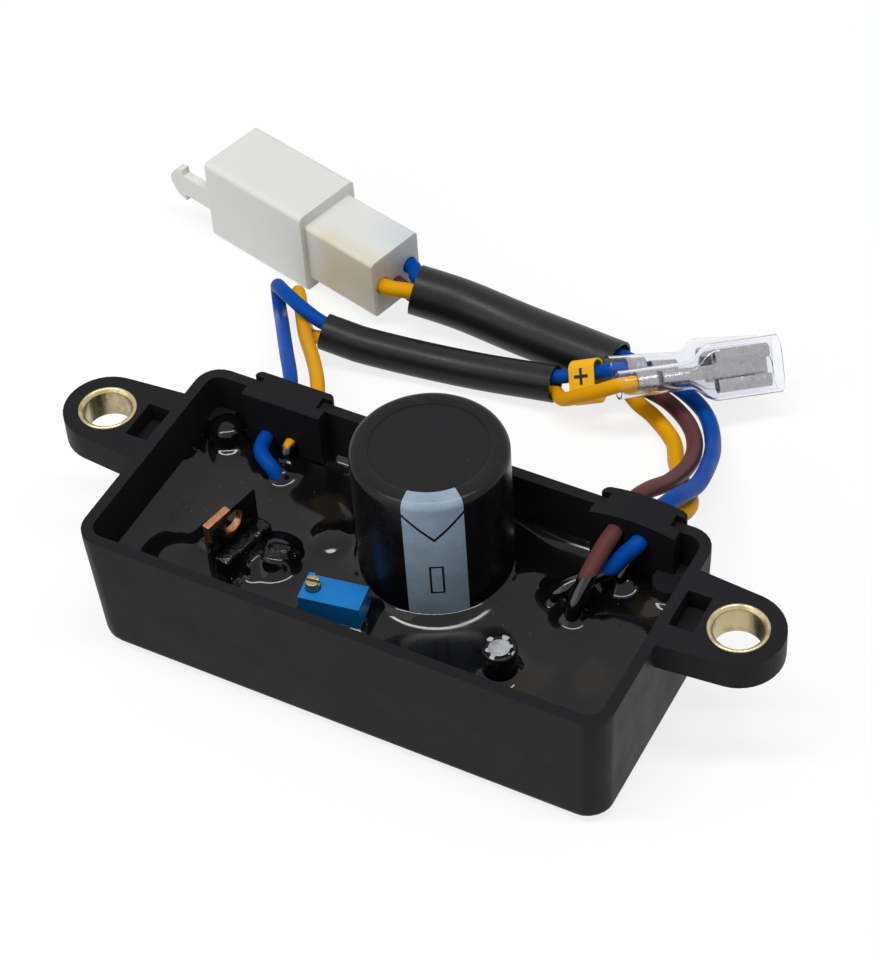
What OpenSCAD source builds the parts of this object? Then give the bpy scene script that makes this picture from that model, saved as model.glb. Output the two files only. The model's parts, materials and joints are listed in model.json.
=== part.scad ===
// Automatic voltage regulator for a generator: potted tray with two mounting ears and two leads.
// Millimetres, +Z up, +X along the tray, +Y towards the wall that the leads pass through.

/* [Housing] */
// Length of the tray at the rim
body_l = 86.5; // [70:0.5:110]
// Width of the tray at the rim
body_w = 40; // [36:0.5:56]
// Height of the tray
body_h = 23.6; // [20:0.2:32]
// Wall thickness
wall = 1.8; // [1.4:0.1:2.6]
// Floor thickness
floor_t = 2.4; // [1.6:0.1:4]
// Radius of the upright outer corners
corner_r = 4; // [3:0.1:6]
// Radius of the lower outer edges
bottom_r = 2.2; // [0.5:0.1:3]
// How far each wall leans in towards the base
draft = 0.8; // [0:0.1:1.5]
// Diameter of the posts in the back corners
post_d = 5.4; // [4:0.1:7]
// Depth of the post tops below the rim
post_drop = 6.6; // [5:0.1:9]
// Distance of a post's axis from the two walls
post_in = 2.9; // [2.4:0.1:4]

/* [Mounting ears] */
// Distance between the two mounting holes
hole_spacing = 105; // [98:0.5:125]
// Offset of the ears from the middle of the tray
ear_y = 5; // [0:0.1:8]
// Ear thickness
ear_t = 5; // [3.5:0.1:8]
// Radius of the ear tip
ear_r = 6.9; // [6:0.1:9]
// Width of the ear at the tray wall
ear_root_w = 15.6; // [14:0.1:20]
// Length of the pocket beside the wall
pocket_l = 3.8; // [2:0.1:4.2]
// Width of the pocket
pocket_w = 7; // [4:0.1:9]
// Depth of the pocket
pocket_depth = 3.4; // [1:0.1:4]

/* [Bushings] */
// Outer diameter
bushing_d = 9.2; // [8:0.1:11]
// Bore diameter
bushing_bore = 7.3; // [5:0.1:7.6]
// Height that a bushing stands above its ear
bushing_proud = 0.15; // [0:0.05:0.6]
// Chamfer at the mouth of the bore
bushing_chamfer = 0.5; // [0.1:0.05:0.6]

/* [Cable inserts] */
// Length along the wall
insert_l = 13.6; // [12:0.1:16]
// Reach of a flange past the edge of the notch
insert_lap = 1.6; // [1:0.1:2]
// Thickness of the inner flange
insert_in_t = 2.1; // [1.4:0.1:3]
// Thickness of the outer flange
insert_out_t = 1.2; // [0.8:0.1:2]
// Height of the insert top above the rim
insert_proud = 0.8; // [0:0.1:2]
// Depth of the notch below the rim
notch_depth = 9.1; // [8.6:0.1:10]
// Upward bow of the right insert
insert_crown = 0.9; // [0.2:0.1:1.5]
// Distance of the left insert's middle from the left wall
insert_left_in = 13.45; // [12:0.05:20]
// Distance of the right insert's middle from the right wall
insert_right_in = 10.45; // [10:0.05:16]
// Places of the two wire holes along the left insert, from its middle
left_hole_x = [-3, 1.2];
// Depths of the two wire holes of the left insert below the rim
left_hole_down = [7.1, 7.1];
// Places of the three wire holes along the right insert, from its middle
right_hole_x = [-2.7, 1.2, -0.6];
// Depths of the three wire holes of the right insert below the rim
right_hole_down = [1.6, 2.2, 7];
// Clearance between an insert and the wall
insert_gap = 0.1; // [0.05:0.05:0.3]
// Corner radius of the outer flange
insert_r = 1; // [0.2:0.1:1.1]

/* [Potting and board] */
// Depth of the potting below the rim
resin_drop = 9.8; // [9.4:0.1:12]
// Top of the circuit board above the base
board_z = 8.4; // [7:0.1:9]
// Board thickness
board_t = 1.6; // [1:0.1:2.4]
// Gap between the board and the tray wall
board_gap = 1.2; // [0.6:0.1:2]

/* [Main capacitor] */
// Outer diameter over the sleeve
cap_d = 23.4; // [18:0.1:24]
// Height above the board
cap_h = 30.4; // [22:0.1:40]
// Sleeve thickness
cap_sleeve_t = 0.25; // [0.15:0.05:0.5]
// Diameter of the insulating disc on top
cap_disc_d = 17.7; // [12:0.1:18]
// Radius of the top edge
cap_edge_r = 1.2; // [0.6:0.1:2]
// Place along the tray
cap_x = 4; // [2:0.1:6]
// Gap to the back wall
cap_gap = 0.5; // [0.4:0.1:1]
// Thickness of the rubber seal
cap_seal_t = 3.2; // [2:0.1:5]
// Distance between the pins
cap_pitch = 10; // [6:0.1:12]
// Pin diameter
cap_pin_d = 1.5; // [0.8:0.1:2]

/* [Trimmer] */
// Body length
trim_l = 9.53; // [8:0.01:12]
// Body width
trim_w = 4.83; // [4.4:0.01:6]
// Body height
trim_h = 10.03; // [8:0.01:12]
// Screw diameter
trim_screw_d = 2.2; // [1.6:0.05:2.6]
// Height of the screw above the body
trim_screw_h = 1.5; // [0.8:0.1:2.5]
// Running clearance of the screw, on the radius
trim_fit = 0.05; // [0.03:0.01:0.08]
// Distance of the screw's axis from the end of the body
trim_screw_in = 1.6; // [1.5:0.05:2.5]
// Width of the screwdriver slot
trim_slot = 0.6; // [0.3:0.05:0.9]
// Turn of the trimmer against the tray
trim_yaw = 9; // [0:1:15]
// Distance of the trimmer's middle to the left of the main capacitor's axis
trim_left = 9.2; // [6:0.1:12]
// Distance of the trimmer's middle in front of the main capacitor
trim_front = 3.2; // [3:0.1:5]

/* [Small parts] */
// Diameter of the small capacitor's can
small_d = 5; // [4:0.1:6.3]
// Height of the small capacitor above the board
small_h = 11; // [9:0.1:13]
// Thickness of the small capacitor's sleeve
small_sleeve_t = 0.15; // [0.1:0.05:0.3]
// Distance of the small capacitor from the right wall
small_in_x = 19.6; // [12:0.1:21]
// Distance of the small capacitor from the front wall
small_in_y = 8.9; // [6:0.1:10]
// Width of the power transistor
tr_w = 10.2; // [8:0.1:11]
// Height of the transistor's tab above the board
tr_h = 15.3; // [13:0.1:17]
// Thickness of the tab
tr_tab_t = 1.3; // [0.8:0.1:1.6]
// Height of the moulded body
tr_body_h = 9; // [7:0.1:10]
// Thickness of the moulded body in front of the tab
tr_body_t = 3.2; // [2.4:0.1:4]
// Diameter of the hole in the tab
tr_hole = 3.6; // [2.5:0.1:4]
// Turn of the transistor against the tray
tr_yaw = -12; // [-20:1:0]
// Distance of the tab from the left wall
tr_in_x = 16.6; // [10:0.1:18]
// Distance of the tab's middle from the front wall
tr_in_y = 13; // [12:0.1:15]
// Diameter of the coated part
coat_d = 5; // [4:0.1:6]
// Height of the coated part above the board
coat_h = 8.4; // [7:0.1:10]
// Diameter of the pins of the small parts
pin_d = 0.7; // [0.4:0.05:0.8]
// Length of the pins below the board
pin_tail = 1.6; // [0.8:0.1:2.5]

/* [Leads] */
// Diameter of a brush wire
brush_d = 2.4; // [2:0.1:2.5]
// Diameter of a winding wire
winding_d = 2.7; // [2:0.1:2.8]
// Clearance round a wire where it passes through a piece, on the radius
wire_gap = 0.2; // [0.1:0.05:0.3]
// Outer diameter of the sleeve on the brush lead
brush_sleeve_d = 6.2; // [6.1:0.1:6.4]
// Outer diameter of the sleeve on the winding lead
winding_sleeve_d = 8.6; // [8:0.1:8.8]
// Sleeve thickness
sleeve_t = 0.45; // [0.3:0.05:0.5]

/* [Connector] */
// Length of the shroud
conn_l = 23; // [22:0.1:30]
// Width of the shroud
conn_w = 13.2; // [13:0.1:18]
// Height of the shroud
conn_h = 16.4; // [14:0.1:18]
// Wall of the shroud
conn_wall = 1.4; // [1:0.1:1.6]
// Depth of the shroud
conn_depth = 17; // [12:0.1:19]
// Length of the part that holds the wires
conn_rear_l = 15.5; // [14:0.1:20]
// Width of the part that holds the wires
conn_rear_w = 11.2; // [11:0.1:13]
// Height of the part that holds the wires
conn_rear_h = 11.8; // [9:0.1:13]
// Length of a wire inside the connector
wire_reach = 7; // [5:0.1:9]
// Pitch of the three tabs
conn_pitch = 3.3; // [3.2:0.05:3.6]
// How much lower the middle wire enters the connector
conn_stagger = 2; // [0:0.1:2.5]
// Width of a tab
tab_w = 6.3; // [2.8:0.1:6.6]
// Thickness of a tab
tab_t = 0.8; // [0.5:0.1:1]
// Length of a tab inside the shroud
tab_l = 11; // [6:0.1:16]
// Length of the latch tongue past the shroud
latch_l = 9.5; // [6:0.1:12]
// Width of the latch tongue
latch_w = 4.4; // [3:0.1:6]
// Thickness of the latch tongue
latch_t = 1.6; // [1:0.1:2]
// Width over the barbs of the latch tongue
latch_barb = 7; // [6.6:0.1:8]

/* [Terminals] */
// Width of the receptacle
recept_w = 7.2; // [6:0.1:7.6]
// Height of the rolled edges
recept_h = 2.6; // [2:0.1:3]
// Length of the receptacle
recept_l = 9; // [7:0.1:10]
// Sheet thickness
sheet_t = 0.5; // [0.3:0.05:0.6]
// Distance from the end of a cover to the end of its wire
strip_in = 6.4; // [5:0.1:8]
// Length of the wire crimp
crimp_l = 4.4; // [3:0.1:5]
// Length of the insulation crimp
grip_l = 3.2; // [2:0.1:3.4]
// Length of a clear cover
cover_l = 27; // [25:0.1:30]
// Width of the wide end of a cover
cover_w = 9.4; // [9:0.1:11]
// Height of the wide end of a cover
cover_h = 5.4; // [4.8:0.1:6]
// Outer diameter of the neck of a cover
cover_neck_d = 4.6; // [4.5:0.1:4.8]
// Thickness of a cover
cover_t = 0.35; // [0.25:0.05:0.4]
// Length of the wire marker
marker_l = 5; // [4:0.1:6]
// Height of the wire marker
marker_h = 7.4; // [6.5:0.1:8]
// Thickness of the wire marker across the wire
marker_w = 3.4; // [3.3:0.1:4.4]
// Wall of the wire marker
marker_t = 0.4; // [0.2:0.05:0.4]

/* [Hidden] */
$fn = 48;
inner_l = body_l - 2 * wall;
inner_w = body_w - 2 * wall;
lean = draft / body_h;
notch_z = body_h - notch_depth;
post_z = body_h - post_drop;
resin_z = body_h - resin_drop;
insert_left_x = insert_left_in - inner_l / 2;
insert_right_x = inner_l / 2 - insert_right_in;
web_l = insert_l - 2 * insert_lap;
wall_in = inner_w / 2 - lean * notch_depth;
cap_y = inner_w / 2 - lean * (body_h - board_z) - cap_gap - cap_d / 2;
can_r = cap_d / 2 - cap_sleeve_t;
board_bottom = board_z - board_t;
pin_z = board_bottom - pin_tail;
trim_x = cap_x - trim_left;
trim_y = cap_y - cap_d / 2 - trim_front;
trim_top = board_z + trim_h;
screw_x = trim_screw_in - trim_l / 2;
collar_r = trim_screw_d / 2 + 0.35;
small_x = inner_l / 2 - small_in_x;
small_y = small_in_y - inner_w / 2;
tr_x = tr_in_x - inner_l / 2;
tr_y = tr_in_y - inner_w / 2;
coat_x = tr_x + tr_body_t + coat_d / 2 + 1.4;
coat_y = tr_y + 1;
post_x = inner_l / 2 - lean * (body_h - floor_t) - post_in;
post_y = inner_w / 2 - lean * (body_h - floor_t) - post_in;

// Where the connector and the two terminals lie, from the back wall's outer face, and how they are turned
conn_pos = [-73.9, 48.2, 0];
conn_yaw = -15;
front_pos = [11.4, 33.1, 11.4];
front_turn = [50, 6, 42];
rear_pos = [7.4, 37.6, 9.2];
rear_turn = [0, 12, 42];
marker_pos = [4.2, 36.8, 6];
marker_turn = [-42, -28, 2];

// Middle lines of the two sleeves, from the outer face of the back wall
brush_sleeve_route = [[-41, 30, 5.4], [-35, 30.8, 4.2], [-24.5, 32.7, 3.2], [-14, 34.2, 3.2], [-5, 35.3, 3.9],
    [-1, 35.6, 4.4]];
winding_sleeve_route = [[6.5, 43.5, 4.4], [-2, 44.2, 4.4], [-12, 45, 4.4], [-21.5, 45.2, 5.4],
    [-27, 44.5, 6.4], [-30.9, 43.8, 7.1]];

// Points of a wire that passes straight through an insert, a little before and past the wall
function through(x, down, before) = [for (y = [before, -1.5, 2.5]) [x, y, body_h - down]];

// Places of two wires and of three wires inside a sleeve
pair = [[0, 0.62, 1.15], [0, -0.62, -1.15]];
trio = [[0, 0, -1.65], [0, 1.55, 0.85], [0, -1.55, 0.85]];

// Routes of the wires, from the board to the terminal or the connector, with the same zero
brush_blue_route = concat(
    [[-24.6, -10, 9.2], [-26.8, -9.4, 15], [-29.8, -8, 16.4]],
    through(insert_left_x + left_hole_x[0], left_hole_down[0], -5.5),
    [[-34.5, 9, 15.5], [-40.5, 17.5, 12], [-47.5, 27.5, 6.5], [-50.2, 31.4, 3.4], [-52.2, 34.2, 1.7],
        [-53.6, 36.2, 2.2], [-54.2, 37.1, 4], [-53.4, 36.2, 5.9], [-51.6, 34.6, 7], [-49.2, 33, 7.7],
        [-45.4, 31.2, 7.8]],
    in_sleeve(brush_sleeve_route, pair[0]),
    in_marker(),
    into_terminal(rear_pos, rear_turn));
brush_yellow_route = concat(
    [[-27, -6.2, 9.2], [-27, -6, 14.4]],
    through(insert_left_x + left_hole_x[1], left_hole_down[1], -4.6),
    [[-29.4, 8.7, 15.6], [-34.5, 16.2, 12.6], [-42.3, 26.2, 7.2], [-45.6, 30.9, 5], [-47.6, 33.8, 5.2],
        [-49.4, 36.3, 5.1], [-50.5, 37.7, 4.2], [-50.6, 37.9, 2.9], [-49.4, 36.4, 1.7], [-47, 33.4, 1.5],
        [-44.4, 30.9, 2.4]],
    in_sleeve(brush_sleeve_route, pair[1]),
    [[1.6, 33, 4.4], [5.2, 32.2, 7.3], [8.6, 32.2, 9.8]],
    into_terminal(front_pos, front_turn));
winding_brown_route = concat(
    [[26.9, -17.4, 9.2], [26.9, -15.8, 15.2], [27.5, -12.2, 19.3], [27.9, -7.4, 21.2]],
    through(insert_right_x + right_hole_x[0], right_hole_down[0], -5),
    [[28.6, 7, 20], [28.9, 14, 15.2], [28, 23.5, 9.5], [25.4, 31.8, 5.2], [21.6, 37.8, 2.8],
        [16.5, 41.6, 2], [11.5, 42.8, 2.2]],
    in_sleeve(winding_sleeve_route, trio[0]),
    into_connector(0));
winding_blue_route = concat(
    [[22.4, -15.4, 9.2], [23.4, -13.4, 15.4], [28.7, -8.4, 17.5], [30.8, -6.2, 19.8]],
    through(insert_right_x + right_hole_x[1], right_hole_down[1], -4.8),
    [[32.6, 7, 19.8], [32.7, 15.7, 14.5], [30.4, 26.3, 9], [27.5, 34.1, 5], [23.3, 41, 2.6],
        [18, 44.8, 2], [12, 45.6, 3.4]],
    in_sleeve(winding_sleeve_route, trio[1]),
    into_connector(1));
winding_yellow_route = concat(
    [[30.2, -7, 9.2], [30.2, -6.8, 14.2], [30.3, -5.8, 16]],
    through(insert_right_x + right_hole_x[2], right_hole_down[2], -4.4),
    [[31.5, 6.6, 15.7], [32.8, 10.6, 13.4], [32, 15, 11], [29.5, 18.9, 8.6], [24.3, 27.2, 4.4],
        [20.9, 33.6, 2.1], [15.8, 37.8, 1.6], [12, 39.2, 2.3], [9.2, 40.4, 4]],
    in_sleeve(winding_sleeve_route, trio[2]),
    into_connector(-1));

// Outline of a rectangle with round corners
function round_rect(l, w, r, n = 6) = [for (q = [0:3]) for (k = [0:n])
    let (a = 90 * (q + k / n), sx = (q == 0 || q == 3) ? 1 : -1, sy = q < 2 ? 1 : -1)
    [sx * (l / 2 - r) + r * cos(a), sy * (w / 2 - r) + r * sin(a)]];

// Upright section of a tray: leaning walls and round lower edges
function tray_section(half, z0, top, r, n = 5) = let (
    low = half - lean * (body_h - z0 - r),
    arc = [for (k = [0:n]) [low - r + r * cos(90 * k / n), z0 + r - r * sin(90 * k / n)]],
    high = half + lean * (top - body_h))
    concat([[high, top]], arc, [for (k = [n:-1:0]) [-arc[k][0], arc[k][1]]], [[-high, top]]);

function unit(v) = v / norm(v);

// Point on a smooth curve through b and c, with a and d as its neighbours
function blend(a, b, c, d, t) = 0.5 * (2 * b + (c - a) * t + (2 * a - 5 * b + 4 * c - d) * t * t
    + (3 * b - a - 3 * c + d) * t * t * t);

// Smooth path through a route's points, with a straight first and last stretch
function smooth(p, n = 2) = concat([p[0]],
    [for (i = [1:len(p) - 3]) for (k = [0:n - 1]) blend(p[i - 1], p[i], p[i + 1], p[i + 2], k / n)],
    [p[len(p) - 2], p[len(p) - 1]]);

function tangents(p) = let (m = len(p) - 1)
    [for (i = [0:m]) unit(p[min(i + 1, m)] - p[max(i - 1, 0)])];

// Normals carried along a path without twist
function normals(t, first) = [for (i = 0, v = unit(first - (first * t[0]) * t[0]); i < len(t);
    i = i + 1, v = i < len(t) ? unit(v - (v * t[i]) * t[i]) : v) v];

function in_sleeve(route, place) = [for (p = route) p + place];

function heading(turn) = [cos(turn[1]) * cos(turn[2]), cos(turn[1]) * sin(turn[2]), -sin(turn[1])];

function into_terminal(pos, turn) = [pos + 0.6 * heading(turn), pos + strip_in * heading(turn)];

// Two points of the wire that passes straight through the upper half of the marker
function in_marker() = let (t = marker_turn, up = [sin(t[1]) * cos(t[0]) * cos(t[2]) + sin(t[0]) * sin(t[2]),
        sin(t[1]) * cos(t[0]) * sin(t[2]) - sin(t[0]) * cos(t[2]), cos(t[1]) * cos(t[0])])
    [for (k = [-1, 1]) marker_pos + (marker_h - marker_w) / 3 * up + k * marker_l / 2 * heading(t)];

function on_connector(x, y, z) = conn_pos
    + [x * cos(conn_yaw) - y * sin(conn_yaw), x * sin(conn_yaw) + y * cos(conn_yaw), z];

function bore_z(side) = conn_h / 2 - (side == 0 ? conn_stagger : 0);

function into_connector(side) = let (y = conn_w / 2 + side * conn_pitch, end = conn_l + conn_rear_l)
    [on_connector(end + 0.4, y, bore_z(side)), on_connector(end - wire_reach, y, bore_z(side))];

// Solid between rings with the same number of points
module loft(rings) {
    m = len(rings[0]);
    last = len(rings) - 1;
    polyhedron(points = [for (r = rings) each r], faces = concat(
        [[for (k = [0:m - 1]) k]],
        [for (i = [0:last - 1]) for (k = [0:m - 1])
            [i * m + k, (i + 1) * m + k, (i + 1) * m + (k + 1) % m, i * m + (k + 1) % m]],
        [[for (k = [m - 1:-1:0]) last * m + k]]));
}

module tube(path, r, sides) {
    t = tangents(path);
    v = normals(t, [0.2, 0.1, 1]);
    loft([for (i = [0:len(path) - 1]) let (w = cross(t[i], v[i]))
        [for (k = [0:sides - 1]) path[i] + r * (cos(360 * k / sides) * v[i] + sin(360 * k / sides) * w)]]);
}

// Puts what is measured from the outer face of the back wall in its place
module behind() {
    translate([0, body_w / 2, 0])
        children();
}

module rod(a, b, r) {
    d = b - a;
    translate(a)
        rotate([0, acos(d[2] / norm(d)), atan2(d[1], d[0])])
            cylinder(h = norm(d), r = r);
}

module tray(l, w, r, z0, top, edge) {
    intersection() {
        translate([0, 0, z0])
            linear_extrude(top - z0)
                polygon(round_rect(l, w, r));
        rotate([90, 0, 0])
            linear_extrude(2 * w, center = true)
                polygon(tray_section(l / 2, z0, top, edge));
        rotate([90, 0, 90])
            linear_extrude(2 * l, center = true)
                polygon(tray_section(w / 2, z0, top, edge));
    }
}

module cavity(top) {
    tray(inner_l, inner_w, corner_r - wall, floor_t, top, 0.6);
}

module ear_form() {
    reach = hole_spacing / 2 - body_l / 2;
    slope = asin((ear_root_w / 2 - ear_r) / (reach + wall / 2));
    translate([0, ear_y, body_h - ear_t])
        linear_extrude(ear_t)
            polygon(concat(
                [[body_l / 2 - wall / 2, -ear_root_w / 2]],
                [for (k = [-9:9]) hole_spacing / 2 * [1, 0]
                    + ear_r * [cos(k * (10 - slope / 9)), sin(k * (10 - slope / 9))]],
                [[body_l / 2 - wall / 2, ear_root_w / 2]]));
}

module ear_cuts() {
    translate([hole_spacing / 2, ear_y, body_h - ear_t - 1])
        cylinder(h = ear_t + 2, d = bushing_d);
    translate([body_l / 2, ear_y - pocket_w / 2, body_h - pocket_depth])
        cube([pocket_l, pocket_w, pocket_depth + 1]);
}

module posts() {
    for (side = [-1, 1])
        translate([side * post_x, post_y, floor_t - 0.5]) {
            cylinder(h = post_z - floor_t + 0.5, d = post_d);
            translate([side > 0 ? 0 : -post_in - 0.6, 0, 0])
                cube([post_in + 0.6, post_in + 0.6, post_z - floor_t + 0.5]);
        }
}

module housing() {
    color([0.09, 0.09, 0.1])
        difference() {
            union() {
                difference() {
                    union() {
                        tray(body_l, body_w, corner_r, 0, body_h, bottom_r);
                        ear_form();
                        mirror([1, 0, 0])
                            ear_form();
                    }
                    cavity(body_h + 1);
                }
                intersection() {
                    posts();
                    tray(body_l - wall, body_w - wall, corner_r - wall / 2, 0, body_h, bottom_r);
                }
            }
            ear_cuts();
            mirror([1, 0, 0])
                ear_cuts();
            for (x = [insert_left_x, insert_right_x])
                {
                    translate([x - web_l / 2 - insert_gap, inner_w / 2 - wall, notch_z])
                        cube([web_l + 2 * insert_gap, 3 * wall, notch_depth + 1]);
                    flange_y = wall_in - insert_in_t - 2 * insert_gap;
                    translate([x - insert_l / 2 - insert_gap, flange_y, notch_z])
                        cube([insert_l + 2 * insert_gap, insert_in_t + 2 * insert_gap, notch_depth + 1]);
                }
        }
}

module bushing(side) {
    r = bushing_bore / 2;
    h = ear_t + bushing_proud;
    color([0.78, 0.66, 0.36])
        translate([side * hole_spacing / 2, ear_y, body_h - ear_t])
            rotate_extrude()
                polygon([[r, 0], [bushing_d / 2, 0], [bushing_d / 2, h - 0.2], [bushing_d / 2 - 0.2, h],
                    [r + bushing_chamfer, h], [r, h - bushing_chamfer]]);
}

module bushing_left() {
    bushing(-1);
}

module bushing_right() {
    bushing(1);
}

// Face of an insert seen from the front, with its top bowed up by crown
function insert_face(l, crown, n = 10) = let (top = body_h + insert_proud) concat(
    [[-l / 2, notch_z], [l / 2, notch_z]],
    [for (k = [0:n]) let (x = l / 2 - l * k / n) [x, top + crown * (1 - pow(2 * x / insert_l, 2))]]);

module insert_slab(l, crown, y0, y1) {
    translate([0, y1, 0])
        rotate([90, 0, 0])
            linear_extrude(y1 - y0)
                polygon(insert_face(l, crown));
}

module insert(x, crown, hole_x, hole_down, d) {
    in_y = wall_in - insert_gap;
    out_y = body_w / 2 + insert_gap;
    color([0.07, 0.07, 0.08])
        difference() {
            translate([x, 0, 0])
                union() {
                    insert_slab(insert_l, crown, in_y - insert_in_t, in_y);
                    insert_slab(web_l, crown, in_y - 0.2, out_y + 0.2);
                    intersection() {
                        insert_slab(insert_l, crown, out_y, out_y + insert_out_t);
                        translate([0, out_y + insert_out_t - insert_l / 2, notch_z - 1])
                            linear_extrude(2 * notch_depth)
                                polygon(round_rect(insert_l, insert_l, insert_r));
                    }
                }
            for (i = [0:len(hole_x) - 1])
                translate([x + hole_x[i], 0, body_h - hole_down[i]])
                    rotate([-90, 0, 0])
                        cylinder(h = body_w, r = d / 2 + wire_gap);
        }
}

module cable_insert_left() {
    insert(insert_left_x, 0, left_hole_x, left_hole_down, brush_d);
}

module cable_insert_right() {
    insert(insert_right_x, insert_crown, right_hole_x, right_hole_down, winding_d);
}

module wire_pockets(route, d) {
    dir = unit(route[1] - route[0]);
    behind()
        rod(route[0] - 0.3 * dir, route[1], d / 2 + 0.05);
}

module potting_resin() {
    color([0.02, 0.02, 0.022])
        difference() {
            cavity(resin_z);
            posts();
            board_form();
            board_pins();
            translate([cap_x, cap_y, board_z])
                cylinder(h = cap_h, d = cap_d);
            trimmer_block();
            translate([small_x, small_y, board_z])
                cylinder(h = small_h, d = small_d + 2 * small_sleeve_t);
            transistor_tab_form();
            transistor_body_form();
            coated_form();
            wire_pockets(brush_blue_route, brush_d);
            wire_pockets(brush_yellow_route, brush_d);
            wire_pockets(winding_brown_route, winding_d);
            wire_pockets(winding_blue_route, winding_d);
            wire_pockets(winding_yellow_route, winding_d);
        }
}

module pin_at(p, z1, d) {
    translate([p[0], p[1], pin_z])
        cylinder(h = z1 - pin_z, d = d);
}

function turned(x, y, a) = [x * cos(a) - y * sin(a), x * sin(a) + y * cos(a)];

function cap_pin(i) = [cap_x + (i - 0.5) * cap_pitch, cap_y];
function trim_pin(i) = [trim_x, trim_y] + turned((i - 1) * 2.54, 0, trim_yaw);
function small_pin(i) = [small_x + (i - 0.5) * 2, small_y];
function tr_lead(i) = [tr_x, tr_y] + turned(tr_tab_t / 2 + 1.2, (i - 1) * 2.54, tr_yaw);
function coat_lead(i) = [coat_x, coat_y + (i - 0.5) * 2.54];

module board_pins() {
    for (i = [0, 1]) {
        pin_at(cap_pin(i), board_z, cap_pin_d);
        pin_at(small_pin(i), board_z, pin_d);
        pin_at(coat_lead(i), board_z, pin_d);
    }
    for (i = [0:2]) {
        pin_at(trim_pin(i), board_z, pin_d);
        pin_at(tr_lead(i), board_z, pin_d);
    }
}

module board_form() {
    inset = board_gap + lean * (body_h - board_bottom);
    difference() {
        translate([0, 0, board_bottom])
            linear_extrude(board_t)
                polygon(round_rect(inner_l - 2 * inset, inner_w - 2 * inset, 1));
        for (side = [-1, 1])
            translate([side * post_x, post_y, board_bottom - 1]) {
                cylinder(h = board_t + 2, d = post_d + 0.6);
                translate([side > 0 ? 0 : -post_in - 3, -post_d / 2 - 0.3, 0])
                    cube([post_in + 3, post_in + 6, board_t + 2]);
                translate([side > 0 ? -post_d / 2 - 0.3 : -post_in - 3, 0, 0])
                    cube([post_in + 3 + post_d / 2 + 0.3, post_in + 6, board_t + 2]);
            }
    }
}

module circuit_board() {
    color([0.1, 0.35, 0.2])
        difference() {
            board_form();
            board_pins();
        }
}

// Half section of a can with a round top edge
function can_section(r, z0, z1, e, n = 6) = concat([[0, z0], [r, z0]],
    [for (k = [0:n]) [r - e + e * cos(90 * k / n), z1 - e + e * sin(90 * k / n)]], [[0, z1]]);

// Half section of a shrunk sleeve that turns in over the top of a can
function sleeve_section(r, t, z0, z1, e, lip, n = 6) = concat([[r, z0], [r + t, z0]],
    [for (k = [0:n]) [r - e + (e + t) * cos(90 * k / n), z1 - e + (e + t) * sin(90 * k / n)]],
    [[lip, z1 + t], [lip, z1]],
    [for (k = [n:-1:0]) [r - e + e * cos(90 * k / n), z1 - e + e * sin(90 * k / n)]]);

module capacitor_can() {
    color([0.75, 0.76, 0.78])
        translate([cap_x, cap_y, board_z])
            difference() {
                rotate_extrude()
                    polygon(can_section(can_r, 0, cap_h - cap_sleeve_t, cap_edge_r));
                translate([0, 0, -1])
                    cylinder(h = cap_seal_t + 1, r = can_r - 0.5);
            }
}

module capacitor_sleeve() {
    color([0.04, 0.04, 0.05])
        translate([cap_x, cap_y, board_z])
            rotate_extrude()
                polygon(sleeve_section(can_r, cap_sleeve_t, 0, cap_h - cap_sleeve_t, cap_edge_r,
                    cap_disc_d / 2));
}

module capacitor_top_disc() {
    color([0.1, 0.1, 0.1])
        translate([cap_x, cap_y, board_z + cap_h - cap_sleeve_t])
            cylinder(h = cap_sleeve_t / 2, d = cap_disc_d);
}

module capacitor_seal() {
    color([0.06, 0.06, 0.06])
        translate([cap_x, cap_y, board_z])
            difference() {
                cylinder(h = cap_seal_t, r = can_r - 0.5);
                for (i = [0, 1])
                    translate([(i - 0.5) * cap_pitch, 0, -1])
                        cylinder(h = cap_seal_t / 2 + 1, d = cap_pin_d);
            }
}

module capacitor_pin_1() {
    color([0.8, 0.8, 0.78])
        pin_at(cap_pin(0), board_z + cap_seal_t / 2, cap_pin_d);
}

module capacitor_pin_2() {
    color([0.8, 0.8, 0.78])
        pin_at(cap_pin(1), board_z + cap_seal_t / 2, cap_pin_d);
}

module trimmer_place() {
    translate([trim_x, trim_y, board_z])
        rotate([0, 0, trim_yaw])
            children();
}

module trimmer_block() {
    trimmer_place()
        translate([-trim_l / 2, -trim_w / 2, 0])
            cube([trim_l, trim_w, trim_h]);
}

module trimmer_body() {
    r = trim_screw_d / 2 + trim_fit;
    color([0.05, 0.3, 0.75])
        difference() {
            union() {
                trimmer_block();
                trimmer_place()
                    translate([0.2 - trim_l / 2, trim_w / 2 - 0.9, trim_h - 0.1])
                        cube([1, 0.9, 0.5]);
            }
            trimmer_place()
                translate([screw_x, 0, 0]) {
                    translate([0, 0, trim_h - 4])
                        cylinder(h = 5, r = r);
                    translate([0, 0, trim_h - 4])
                        cylinder(h = 0.8 + 2 * trim_fit, r = collar_r + trim_fit);
                }
        }
}

module trimmer_screw() {
    color([0.8, 0.65, 0.3])
        trimmer_place()
            translate([screw_x, 0, trim_h - 4 + trim_fit])
                difference() {
                    union() {
                        cylinder(h = 4 - trim_fit + trim_screw_h, d = trim_screw_d);
                        cylinder(h = 0.8, r = collar_r);
                    }
                    translate([-trim_screw_d, -trim_slot / 2, 4 - trim_fit + trim_screw_h - 0.7])
                        cube([2 * trim_screw_d, trim_slot, 1]);
                }
}

module trimmer_pin_1() {
    color([0.8, 0.8, 0.78])
        pin_at(trim_pin(0), board_z, pin_d);
}

module trimmer_pin_2() {
    color([0.8, 0.8, 0.78])
        pin_at(trim_pin(1), board_z, pin_d);
}

module trimmer_pin_3() {
    color([0.8, 0.8, 0.78])
        pin_at(trim_pin(2), board_z, pin_d);
}

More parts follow.
